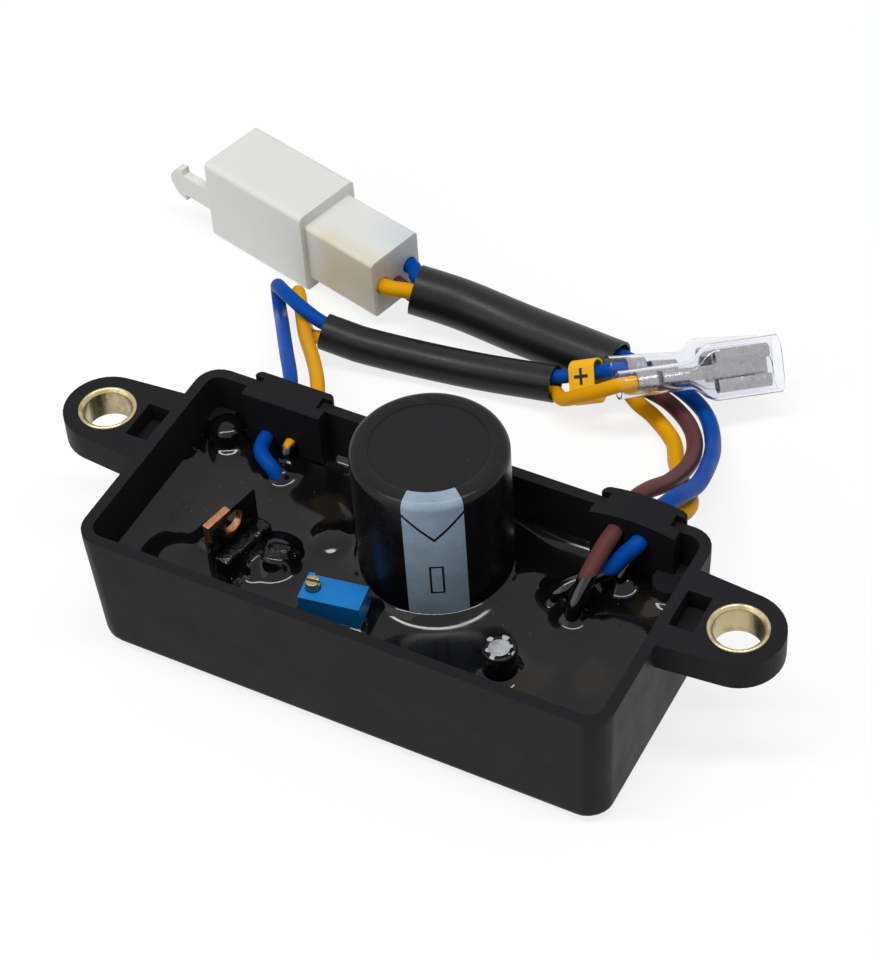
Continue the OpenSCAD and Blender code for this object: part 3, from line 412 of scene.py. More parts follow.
def times(tree, first, second):
    """The product of two values."""
    return math_node(tree, "MULTIPLY", first, second)


def add(tree, first, second):
    """The sum of two values."""
    return math_node(tree, "ADD", first, second)


def minus(tree, first, second):
    """The first value less the second."""
    return math_node(tree, "SUBTRACT", first, second)


def is_below(tree, first, second):
    """1 where the first value is below the second, and otherwise 0."""
    return math_node(tree, "LESS_THAN", first, second)


def is_above(tree, first, second):
    """1 where the first value is above the second, and otherwise 0."""
    return math_node(tree, "GREATER_THAN", first, second)


def largest(tree, first, second):
    """The larger of two values."""
    return math_node(tree, "MAXIMUM", first, second)


def unsigned(tree, value):
    """The value without its sign."""
    return math_node(tree, "ABSOLUTE", value)


def across(tree, first, second):
    """Length of the diagonal over two sides."""
    squares = [math_node(tree, "POWER", side, 2.0) for side in (first, second)]
    return math_node(tree, "SQRT", add(tree, *squares))


def feed(node, socket, value):
    """Links a value to a socket of a node."""
    node.id_data.links.new(value, node.inputs[socket])


def mix_colours(tree, factor, first, second):
    """A colour between two others."""
    made = add_node(tree, "ShaderNodeMix", {"Factor": factor}, data_type="RGBA")
    for number, colour in ((6, first), (7, second)):
        if isinstance(colour, bpy.types.NodeSocket):
            tree.links.new(colour, made.inputs[number])
        else:
            made.inputs[number].default_value = (*colour[:3], 1.0)
    return made.outputs[2]


def remap(tree, value, low, high, new_low=0.0, new_high=1.0):
    """The value moved from one range to another, kept inside it."""
    made = add_node(tree, "ShaderNodeMapRange", {
        "Value": value, "From Min": low, "From Max": high, "To Min": new_low, "To Max": new_high})
    return made.outputs[0]


def spread(tree, share, low, high):
    """The value between low and high for a share between 0 and 1."""
    return remap(tree, share, 0.0, 1.0, low, high)


def object_place(tree):
    """Place on the piece, in metres."""
    return add_node(tree, "ShaderNodeTexCoord").outputs["Object"]


def object_axes(tree):
    """X, Y and Z of the place on the piece."""
    return add_node(tree, "ShaderNodeSeparateXYZ", {0: object_place(tree)}).outputs


def noise_value(tree, scale, detail=3.0, roughness=0.55, place=None):
    """Soft noise between 0 and 1; scale is in features per metre."""
    made = add_node(tree, "ShaderNodeTexNoise", {
        "Vector": place or object_place(tree), "Scale": scale, "Detail": detail, "Roughness": roughness})
    return made.outputs["Fac"]


def new_group(name, inputs, outputs):
    """An empty shader node group with float inputs and outputs, and its two end nodes."""
    group = bpy.data.node_groups.new(name, "ShaderNodeTree")
    for label, default in inputs:
        socket = group.interface.new_socket(name=label, in_out="INPUT", socket_type="NodeSocketFloat")
        socket.default_value = default
    for label in outputs:
        group.interface.new_socket(name=label, in_out="OUTPUT", socket_type="NodeSocketFloat")
    return group, group.nodes.new("NodeGroupInput"), group.nodes.new("NodeGroupOutput")


def moulded_grain_group():
    """Fine texture of a moulded surface, with slow changes of gloss over it."""
    group, start, end = new_group(
        "Moulded Grain", (("Grain per Metre", 4000.0), ("Gloss per Metre", 120.0)), ("Height", "Gloss"))
    fine = noise_value(group, start.outputs["Grain per Metre"], 4.0, 0.6)
    slow = noise_value(group, start.outputs["Gloss per Metre"], 4.0, 0.6)
    feed(end, "Height", fine)
    feed(end, "Gloss", remap(group, slow, 0.3, 0.7))
    return group


def handling_group():
    """Thin scuffs and rubbed places left by handling."""
    group, start, end = new_group("Handling Marks", (("Amount", 0.5), ("Marks per Metre", 90.0)), ("Mask",))
    place = object_place(group)
    stretched = add_node(group, "ShaderNodeMapping", {
        "Vector": place, "Rotation": (0.3, 0.2, 0.9), "Scale": (1.0, 9.0, 4.0)}).outputs[0]
    lines = noise_value(group, start.outputs["Marks per Metre"], 5.0, 0.65, stretched)
    clouds = noise_value(group, start.outputs["Marks per Metre"], 2.0, 0.5, place)
    both = times(group, remap(group, lines, 0.56, 0.7), remap(group, clouds, 0.48, 0.66))
    feed(end, "Mask", times(group, both, start.outputs["Amount"]))
    return group


def dust_and_glint_group():
    """Small pale specks: dust and lint on most finishes, and painted glints on the resin coat."""
    group, start, end = new_group(
        "Dust and Glint Specks", (("Specks per Metre", 700.0), ("Speck Size", 0.12)), ("Mask",))
    cells = add_node(group, "ShaderNodeTexVoronoi", {
        "Vector": object_place(group), "Scale": start.outputs["Specks per Metre"], "Randomness": 1.0})
    near = is_below(group, cells.outputs["Distance"], start.outputs["Speck Size"])
    sparse = is_above(group, noise_value(group, 260.0, 2.0), 0.56)
    feed(end, "Mask", times(group, near, sparse))
    return group


def metal_streaks_group():
    """Uneven drawn or turned streaks on metal."""
    group, start, end = new_group("Metal Streaks", (("Streaks per Metre", 900.0),), ("Streak",))
    place = object_place(group)
    stretched = add_node(group, "ShaderNodeMapping", {"Vector": place, "Scale": (1.0, 1.0, 0.12)}).outputs[0]
    streak = noise_value(group, start.outputs["Streaks per Metre"], 4.0, 0.65, stretched)
    feed(end, "Streak", remap(group, streak, 0.3, 0.7))
    return group


GROUP_MAKERS = {
    "Moulded Grain": moulded_grain_group,
    "Handling Marks": handling_group,
    "Dust and Glint Specks": dust_and_glint_group,
    "Metal Streaks": metal_streaks_group,
}


def place_group(tree, name, **values):
    """Puts a shared group in a material with its own values, making the group the first time."""
    group = bpy.data.node_groups.get(name) or GROUP_MAKERS[name]()
    made = add_node(tree, "ShaderNodeGroup", node_tree=group)
    for label, value in values.items():
        made.inputs[label.replace("_", " ").title().replace("Per", "per")].default_value = value
    return made.outputs


def empty_tree(owner):
    """The cleared node tree of a material or a world."""
    owner.use_nodes = True
    owner.node_tree.nodes.clear()
    return owner.node_tree


def new_material(name, constants=()):
    """A material with one Principled shader, whose even values are set on its own sockets."""
    material = bpy.data.materials.new(name)
    tree = empty_tree(material)
    surface = add_node(tree, "ShaderNodeBsdfPrincipled", constants)
    feed(add_node(tree, "ShaderNodeOutputMaterial"), "Surface", surface.outputs[0])
    return material, tree, surface


def set_bump(tree, surface, height, distance, strength=1.0):
    """Feeds a height through a bump node to the shader's normal."""
    bump = add_node(tree, "ShaderNodeBump", {"Height": height, "Distance": distance, "Strength": strength})
    feed(surface, "Normal", bump.outputs[0])


def moulded_material(name, colour, rough, grain=4000.0, depth=0.00004, worn=0.5, dusty=0.06, specular=0.25):
    """Moulded plastic or rubber: fine grain, uneven gloss, handling marks and dust."""
    material, tree, surface = new_material(name, {"Specular IOR Level": specular})
    grained = place_group(tree, "Moulded Grain", grain_per_metre=grain)
    marks = place_group(tree, "Handling Marks", amount=worn)["Mask"]
    dust = place_group(tree, "Dust and Glint Specks", speck_size=dusty)["Mask"]
    pale = [min(1.0, channel * 2.0 + 0.006) for channel in colour[:3]]
    worn_colour = mix_colours(tree, marks, colour, pale)
    feed(surface, "Base Color", mix_colours(tree, times(tree, dust, 0.2), worn_colour, DUST_ON_PLASTIC))
    gloss = spread(tree, grained["Gloss"], rough - 0.06, rough + 0.06)
    feed(surface, "Roughness", add(tree, gloss, times(tree, marks, 0.12)))
    set_bump(tree, surface, grained["Height"], depth)
    return material


def metal_material(name, colour, rough, tarnish, streaks=900.0):
    """Metal with streaks and darker tarnished places."""
    material, tree, surface = new_material(name, {"Metallic": 1.0})
    streak = place_group(tree, "Metal Streaks", streaks_per_metre=streaks)["Streak"]
    patches = remap(tree, noise_value(tree, 500.0, 4.0), 0.5, 0.72)
    dull = [channel * 0.45 for channel in colour[:3]]
    feed(surface, "Base Color", mix_colours(tree, times(tree, patches, tarnish), colour, dull))
    feed(surface, "Roughness", spread(tree, streak, rough - 0.07, rough + 0.12))
    set_bump(tree, surface, streak, 0.00002)
    return material


# Shape helpers


def catmull_rom(a, b, c, d, t):
    """Point between b and c on the smooth curve through the four points."""
    bend = (2 * a - 5 * b + 4 * c - d) * t * t
    twist = (3 * b - a - 3 * c + d) * t ** 3
    return 0.5 * (2 * b + (c - a) * t + bend + twist)


def smooth_route(points, steps):
    """A smooth line through the points, straight in its first and last stretch."""
    route = [Vector(p) for p in points]
    line = [route[0]]
    for i in range(1, len(route) - 2):
        line += [catmull_rom(*route[i - 1:i + 3], k / steps) for k in range(steps)]
    return line + route[-2:]


def behind_wall(points, place=(0, 0, 0)):
    """Points measured from the back wall, moved to the part's own frame."""
    return [Vector(p) + Vector(place) + Vector((0, BACK_WALL_Y, 0)) for p in points]


def ring_frames(line):
    """Two cross directions at each point of a line, carried along it without twist."""
    ends = [line[0], *line, line[-1]]
    along = [(ends[i + 2] - ends[i]).normalized() for i in range(len(line))]
    up = Vector((0.2, 0.1, 1.0))
    frames = []
    for direction in along:
        up = (up - direction * up.dot(direction)).normalized()
        frames.append((up, direction.cross(up)))
    return frames


def mesh_object(name, vertices, faces, smooth=True):
    """A new piece from points and faces, shaded smooth except at sharp edges."""
    mesh = bpy.data.meshes.new(name)
    mesh.from_pydata([tuple(v) for v in vertices], [], faces)
    mesh.validate()
    return mesh_piece(name, mesh, smooth)


def shade_smooth(mesh):
    """Shades a mesh smooth except at sharp edges."""
    mesh.polygons.foreach_set("use_smooth", [True] * len(mesh.polygons))
    mesh.set_sharp_from_angle(angle=SHARP_ANGLE)


def mesh_piece(name, mesh, smooth=True):
    """A new piece that holds the mesh."""
    if smooth:
        shade_smooth(mesh)
    piece = bpy.data.objects.new(name, mesh)
    bpy.context.scene.collection.objects.link(piece)
    return piece


def ring_faces(rings, sides, closed_sides=True):
    """Quads between rings of points that follow each other."""
    around = sides if closed_sides else sides - 1
    return [
        (i * sides + k, i * sides + (k + 1) % sides, (i + 1) * sides + (k + 1) % sides, (i + 1) * sides + k)
        for i in range(rings - 1) for k in range(around)]


def lathe(name, profile, place, sides, wobble):
    """A turned piece, slightly out of round: profile holds radius and height from one end to the other."""
    lobes, lumps_per_metre = 3, 400
    vertices = []
    for radius, height in profile:
        for k in range(sides):
            a = 2 * math.pi * k / sides
            around = Vector((lobes * math.cos(a), lobes * math.sin(a), height * lumps_per_metre))
            push = 1 + wobble * noise.noise(around)
            vertices.append((radius * push * math.cos(a), radius * push * math.sin(a), height))
    faces = ring_faces(len(profile), sides)
    faces.append(tuple(range(sides))[::-1])
    last = (len(profile) - 1) * sides
    faces.append(tuple(range(last, last + sides)))
    piece = mesh_object(name, vertices, faces)
    piece.location = place
    return piece


def walled_loft(name, outer, inner):
    """A shell with a wall, from outer and inner rings of equal number, open at both ends."""
    sides = len(outer[0])
    rings = outer + inner[::-1] + [outer[0]]
    vertices = [p for ring in rings[:-1] for p in ring]
    count = len(rings) - 1
    faces = [tuple((index % (count * sides)) for index in face) for face in ring_faces(count + 1, sides)]
    return mesh_object(name, vertices, faces)


def tube_rings(line, radius, sides):
    """Rings of points of one radius round a line."""
    turns = [2 * math.pi * k / sides for k in range(sides)]
    return [[p + radius * (math.cos(a) * u + math.sin(a) * v) for a in turns]
            for p, (u, v) in zip(line, ring_frames(line))]


def even_faces(piece):
    """Lets the large faces of a piece set its shading, so that flat faces look flat."""
    piece.modifiers.new("even_faces", "WEIGHTED_NORMAL").keep_sharp = True


def bevelled_copy(node, edge=None):
    """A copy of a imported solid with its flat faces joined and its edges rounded."""
    shape = bmesh.new()
    shape.from_mesh(NODES[node].data)
    bmesh.ops.remove_doubles(shape, verts=shape.verts, dist=JOIN)
    bmesh.ops.dissolve_limit(shape, angle_limit=FLAT_ANGLE, verts=shape.verts, edges=shape.edges)
    sharp = [e for e in shape.edges if len(e.link_faces) == 2 and e.calc_face_angle(0.0) > CORNER_ANGLE]
    bmesh.ops.bevel(shape, geom=sharp, offset=edge or EDGES[node], offset_type="OFFSET", segments=2,
                    profile=0.5, affect="EDGES", clamp_overlap=True)
    mesh = bpy.data.meshes.new("dressed_" + node)
    shape.to_mesh(mesh)
    shape.free()
    mesh.validate()
    piece = mesh_piece("dressed_" + node, mesh)
    even_faces(piece)
    return dress(piece, None, node)


def apply_modifier(piece, kind, **values):
    """Gives a piece the mesh that one modifier makes of it."""
    piece.modifiers.clear()
    made = piece.modifiers.new(kind.lower(), kind)
    for key, value in values.items():
        setattr(made, key, value)
    evaluated = piece.evaluated_get(bpy.context.evaluated_depsgraph_get())
    piece.data = bpy.data.meshes.new_from_object(evaluated)
    piece.modifiers.clear()
    return piece.data


def slot_of(node):
    """The record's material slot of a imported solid."""
    return next(part["material_slot"] for part in FRAME["record"]["subparts"] if part["node"] == node)


def dress(piece, material, node):
    """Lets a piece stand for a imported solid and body."""
    if material:
        piece.data.materials.clear()
        piece.data.materials.append(material)
    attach(piece, BODY)
    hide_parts(node)
    return piece


def paint(piece, material):
    """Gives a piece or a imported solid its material."""
    if piece.material_slots:
        piece.material_slots[0].material = material
    else:
        piece.data.materials.append(material)
    return piece


def centre(node):
    """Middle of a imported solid's box."""
    low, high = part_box(node)
    return (low + high) / 2


def turned_place(place, turn):
    """Where a piece on a wire sits: roll, pitch and yaw in degrees at a place behind the wall."""
    roll, pitch, yaw = (math.radians(a) for a in turn)
    turned = Matrix.Rotation(yaw, 4, "Z") @ Matrix.Rotation(pitch, 4, "Y") @ Matrix.Rotation(roll, 4, "X")
    return Matrix.Translation(behind_wall([place])[0]) @ turned


def moved_to_frame(piece, frame):
    """Keeps a piece where it is while its own axes become those of the frame."""
    piece.data.transform(frame.inverted())
    piece.matrix_world = frame
    return piece


def upright_frame(place, yaw):
    """A frame at that place in the plane, turned about the upright axis."""
    return Matrix.Translation((place[0], place[1], 0)) @ Matrix.Rotation(yaw, 4, "Z")


def resin_coated(node, material, thick):
    """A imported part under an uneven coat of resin, thick at its lumps."""
    cell, lumps_per_metre = 0.00035, 420.0
    piece = bevelled_copy(node)
    mesh = apply_modifier(piece, "REMESH", mode="VOXEL", voxel_size=cell)
    for vertex in mesh.vertices:
        vertex.co += vertex.normal * thick * (0.5 + noise.noise(vertex.co * lumps_per_metre))
    mesh.polygons.foreach_set("use_smooth", [True] * len(mesh.polygons))
    return paint(piece, material)


# Stage


def seen_rays(tree):
    """1 for rays that show the background: from the camera, from a reflection or through glass."""
    rays = add_node(tree, "ShaderNodeLightPath").outputs
    mirrored = largest(tree, rays["Is Glossy Ray"], rays["Is Transmission Ray"])
    return largest(tree, rays["Is Camera Ray"], mirrored)


def white_floor_material(colour, glow):
    """White to the eye and in reflections, a plain pale floor to the light, and it keeps the shadow."""
    material = bpy.data.materials.new("white_floor")
    tree = empty_tree(material)
    plain = add_node(tree, "ShaderNodeBsdfDiffuse", {"Color": (*colour, 1.0)})
    shaded = add_node(tree, "ShaderNodeBsdfDiffuse", {"Color": (1.02 - glow,) * 3 + (1.0,)})
    white = add_node(tree, "ShaderNodeEmission", {"Strength": glow})
    both = add_node(tree, "ShaderNodeAddShader", {0: shaded.outputs[0], 1: white.outputs[0]})
    mixed = add_node(tree, "ShaderNodeMixShader", {
        0: seen_rays(tree), 1: plain.outputs[0], 2: both.outputs[0]})
    feed(add_node(tree, "ShaderNodeOutputMaterial"), "Surface", mixed.outputs[0])
    return material


def white_world(strength):
    """Even light from all around, white where it is seen."""
    world = bpy.data.worlds.new("studio")
    tree = empty_tree(world)
    level = spread(tree, seen_rays(tree), strength, 1.0)
    light = add_node(tree, "ShaderNodeBackground", {"Color": (1, 1, 1, 1), "Strength": level})
    feed(add_node(tree, "ShaderNodeOutputWorld"), "Surface", light.outputs[0])
    bpy.context.scene.world = world


def soft_lamp(name, target, power, direction, distance, size):
    """An area lamp that faces the target, with its length along the picture's width."""
    data = bpy.data.lights.new(name, "AREA")
    data.shape = "RECTANGLE"
    data.size, data.size_y = size
    data.energy = power
    lamp = bpy.data.objects.new(name, data)
    towards = Vector(direction).normalized()
    along = Vector((math.cos(LAMP_YAW), math.sin(LAMP_YAW), 0))
    along = (along - towards * along.dot(towards)).normalized()
    turn = Matrix((along, towards.cross(along), towards)).transposed().to_4x4()
    lamp.matrix_world = Matrix.Translation(target + distance * towards) @ turn
    bpy.context.scene.collection.objects.link(lamp)


def photo_camera(stage):
    """The camera of the picture."""
    data = bpy.data.cameras.new("photo_camera")
    data.sensor_fit = "VERTICAL"
    data.sensor_height = 36.0
    data.lens = stage.focal_pixels * data.sensor_height / PICTURE_HEIGHT
    data.clip_start = 0.01
    camera = bpy.data.objects.new("photo_camera", data)
    az, el = stage.azimuth, stage.elevation
    back = Vector((math.sin(az) * math.cos(el), -math.cos(az) * math.cos(el), math.sin(el)))
    right = Vector((0, 0, 1)).cross(back).normalized()
    turn = Matrix((right, back.cross(right), back)).transposed().to_4x4()
    place = Matrix.Translation(Vector(stage.target) + stage.distance * back)
    camera.matrix_world = place @ turn @ Matrix.Rotation(stage.roll, 4, "Z")
    bpy.context.scene.collection.objects.link(camera)
    bpy.context.scene.camera = camera


class BuildStage(bpy.types.Operator):
    """Makes the camera, the lamps and the floor"""

    bl_idname = "regulator.build_stage"
    bl_label = "Stage"

    def execute(self, context):
        stage = settings(context, "stage")
        context.scene.view_settings.view_transform = "Standard"
        photo_camera(stage)
        white_world(stage.world_light)
        target = Vector(stage.target)
        soft_lamp("key_lamp", target, stage.key_power, *KEY_LAMP)
        soft_lamp("fill_lamp", target, stage.fill_power, *FILL_LAMP)
        corners = [(x * FLOOR_REACH, y * FLOOR_REACH, 0) for x, y in ((-1, -1), (1, -1), (1, 1), (-1, 1))]
        floor = mesh_object("floor", corners, [(0, 1, 2, 3)], smooth=False)
        floor.data.materials.append(white_floor_material(stage.floor_colour, stage.floor_glow))
        return {"FINISHED"}


# Leads


def dipped_mask(tree, height):
    """Where a wire inside the tray lies below that height, so that resin covers it, with an uneven edge."""
    wave, fade = 0.0011, 0.0004
    place = object_axes(tree)
    uneven = times(tree, noise_value(tree, 420.0, 3.0), 2 * wave)
    level = add(tree, place["Z"], minus(tree, uneven, wave))
    covered = remap(tree, level, height, height - fade)
    return times(tree, covered, is_below(tree, place["Y"], BACK_WALL_Y - INSERT_DEPTH))


def insulation_material(name, colour, dipped, resin):
    """Extruded wire insulation with faint drawing marks and grime, black and glossy where resin covers it."""
    material, tree, surface = new_material(name, {"Specular IOR Level": 0.05, "Coat Roughness": 0.08})
    grained = place_group(tree, "Moulded Grain", grain_per_metre=1800.0, gloss_per_metre=200.0)
    marks = place_group(tree, "Handling Marks", amount=0.6, marks_per_metre=160.0)["Mask"]
    covered = dipped_mask(tree, dipped)
    bare = mix_colours(tree, marks, colour, [channel * 0.55 for channel in colour])
    feed(surface, "Base Color", mix_colours(tree, covered, bare, resin))
    feed(surface, "Coat Weight", covered)
    shiny = minus(tree, 1.0, times(tree, covered, 0.75))
    feed(surface, "Roughness", times(tree, spread(tree, grained["Gloss"], 0.3, 0.46), shiny))
    set_bump(tree, surface, grained["Height"], 0.00003)
    return material


def wire_curve(name, line, diameter, material):
    """A round wire along a line."""
    data = bpy.data.curves.new(name, "CURVE")
    data.dimensions = "3D"
    data.bevel_depth = diameter / 2
    data.bevel_resolution = 5
    data.use_fill_caps = True
    spline = data.splines.new("POLY")
    spline.points.add(len(line) - 1)
    for point, place in zip(spline.points, line):
        point.co = (*place, 1.0)
    data.materials.append(material)
    wire = bpy.data.objects.new(name, data)
    bpy.context.scene.collection.objects.link(wire)
    return wire


def sleeve_piece(node, route, diameter, wall, material):
    """A loose plastic sleeve on a lead, cut straight at both ends."""
    line = smooth_route(behind_wall(route), SLEEVE_STEPS)
    outer = tube_rings(line, diameter / 2, SLEEVE_SIDES)
    inner = tube_rings(line, diameter / 2 - wall, SLEEVE_SIDES)
    return dress(walled_loft("dressed_" + node, outer, inner), material, node)


def marker_material(colour, height):
    """Orange marker with a dark plus sign on its broad faces."""
    stroke, reach, dark = 0.00028, 0.0014, (0.02, 0.018, 0.015)
    material, tree, surface = new_material("marker_orange", {"Specular IOR Level": 0.2})
    place = object_axes(tree)
    along = unsigned(tree, place["X"])
    up = unsigned(tree, minus(tree, place["Z"], 0.1 * height))
    bar = times(tree, is_below(tree, up, stroke), is_below(tree, along, reach))
    stem = times(tree, is_below(tree, along, stroke), is_below(tree, up, reach))
    grained = place_group(tree, "Moulded Grain", grain_per_metre=2200.0)
    feed(surface, "Base Color", mix_colours(tree, largest(tree, bar, stem), colour, dark))
    feed(surface, "Roughness", spread(tree, grained["Gloss"], 0.3, 0.45))
    set_bump(tree, surface, grained["Height"], 0.00002)
    return material


class BuildLeads(bpy.types.Operator):
    """Makes the five wires, their two sleeves and the wire marker"""

    bl_idname = "regulator.build_leads"
    bl_label = "Leads"

    def execute(self, context):
        leads = settings(context, "leads")
        colours = {"wire_blue": leads.blue, "wire_yellow": leads.yellow, "wire_brown": leads.brown}
        resin = settings(context, "potting").colour
        black = moulded_material(
            "sleeve_black", leads.sleeve_colour, rough=0.36, grain=900.0, depth=0.00005, dusty=0.05)
        sleeve_piece("brush_lead_sleeve", BRUSH_SLEEVE, leads.brush_sleeve, leads.sleeve_wall, black)
        sleeve_piece("winding_lead_sleeve", WINDING_SLEEVE, leads.winding_sleeve, leads.sleeve_wall, black)
        marker = moved_to_frame(bevelled_copy("wire_marker"), turned_place(*MARKER))
        low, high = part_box("wire_marker")
        paint(marker, marker_material(leads.marker_colour, high.z - low.z))
        for node, finish, sleeve, place, before, after in LEADS:
            diameter = leads.brush_diameter if sleeve is BRUSH_SLEEVE else leads.winding_diameter
            points = behind_wall(before) + behind_wall(sleeve, place) + behind_wall(after)
            line = smooth_route(points, WIRE_STEPS)
            material = insulation_material(node + "_insulation", colours[finish], DIPPED[node], resin)
            wire = dress(wire_curve("dressed_" + node, line, diameter, material), None, node)
        return {"FINISHED"}


# Tray


def corner_levels():
    """Heights of the corner cutters and how far the wall stands in from the rim there, from the foot up."""
    lean = TRAY_DRAFT / TRAY_HEIGHT
    low = lean * (TRAY_HEIGHT - FOOT_ROUND) - CUT_CLEAR
    turns = [math.pi / 2 * k / FOOT_STEPS for k in range(FOOT_STEPS, -1, -1)]
    foot = [(FOOT_ROUND * (1 - math.sin(a)), low + FOOT_ROUND * (1 - math.cos(a))) for a in turns]
    return [(CUT_BOTTOM, foot[0][1]), *foot, (CUT_TOP, lean * (TRAY_HEIGHT - CUT_TOP) - CUT_CLEAR)]


def corner_cutter():
    """Four blocks, each hollowed on one side to the rounding of a corner of the tray."""
    levels = corner_levels()
    turns = [math.pi / 2 * k / CORNER_STEPS for k in range(1, CORNER_STEPS)]
    over, back = 1.5 - 0.5 * math.cos(turns[0]), -0.5 * math.sin(turns[0])
    arc = [(math.cos(a), math.sin(a)) for a in turns]
    outline = [(over, back), *arc, (back, over), CUT_OUTER]
    count, top = len(outline), (len(levels) - 1) * len(outline)
    block = ring_faces(len(levels), count)
    block += [tuple(reversed(range(count))), tuple(range(top, top + count))]
    vertices, faces = [], []
    for sx, sy in ((1, 1), (-1, 1), (-1, -1), (1, -1)):
        order = -1 if sx * sy > 0 else 1
        faces += [tuple(len(vertices) + index for index in face[::order]) for face in block]
        for z, inset in levels:
            x, y = (half - inset - CORNER_ROUND for half in TRAY_HALF_SIZES)
            vertices += [(sx * (x + u * CORNER_ROUND), sy * (y + v * CORNER_ROUND), z) for u, v in outline]
    return mesh_object("corner_cutter", vertices, faces)


def rounded_corners(piece):
    """Rounds the four upright corners down to the foot, where the leaning walls would meet in an edge."""
    cutter = corner_cutter()
    mesh = apply_modifier(piece, "BOOLEAN", operation="DIFFERENCE", solver="MANIFOLD", object=cutter)
    bpy.data.meshes.remove(cutter.data)
    shape = bmesh.new()
    shape.from_mesh(mesh)
    bmesh.ops.remove_doubles(shape, verts=shape.verts, dist=CUT_JOIN)
    shape.to_mesh(mesh)
    shape.free()
    shade_smooth(mesh)
    even_faces(piece)
    return piece


class BuildTray(bpy.types.Operator):
    """Makes the moulded tray, its two cable inserts and its two bushings"""

    bl_idname = "regulator.build_tray"
    bl_label = "Tray"

    def execute(self, context):
        tray = settings(context, "tray")
        plastic = moulded_material(
            "tray_plastic", tray.plastic, rough=0.44, grain=5200.0, depth=0.00005, worn=0.35, dusty=0.05,
            specular=0.06)
        rubber = moulded_material(
            "insert_rubber", tray.rubber, rough=0.46, grain=3600.0, worn=0.3, dusty=0.05, specular=0.07)
        brass = metal_material("bushing_brass", tray.brass, rough=0.3, tarnish=0.8)
        paint(rounded_corners(bevelled_copy("housing", tray.edge)), plastic)
        for side in ("left", "right"):
            paint(bevelled_copy("cable_insert_" + side, tray.edge), rubber)
            paint(bevelled_copy("bushing_" + side, tray.edge), brass)
        return {"FINISHED"}


# Potting


def box_distance(x, y, middle, yaw, length, width):
    """Distance in the plane from an upright block that is turned about its middle."""
    dx, dy = x - middle.x, y - middle.y
    u = abs(dx * math.cos(yaw) + dy * math.sin(yaw)) - length / 2
    v = abs(-dx * math.sin(yaw) + dy * math.cos(yaw)) - width / 2
    return math.hypot(max(u, 0.0), max(v, 0.0))


def round_distance(x, y, place, radius):
    """Distance in the plane from an upright round part."""
    return max(0.0, math.hypot(x - place[0], y - place[1]) - radius)


def mound(x, y, place, height, reach):
    """Height of a mound with a broad top and an even flank."""
    away = ((x - place[0]) ** 2 + (y - place[1]) ** 2) / (reach * reach)
    return height * math.exp(-away * away)


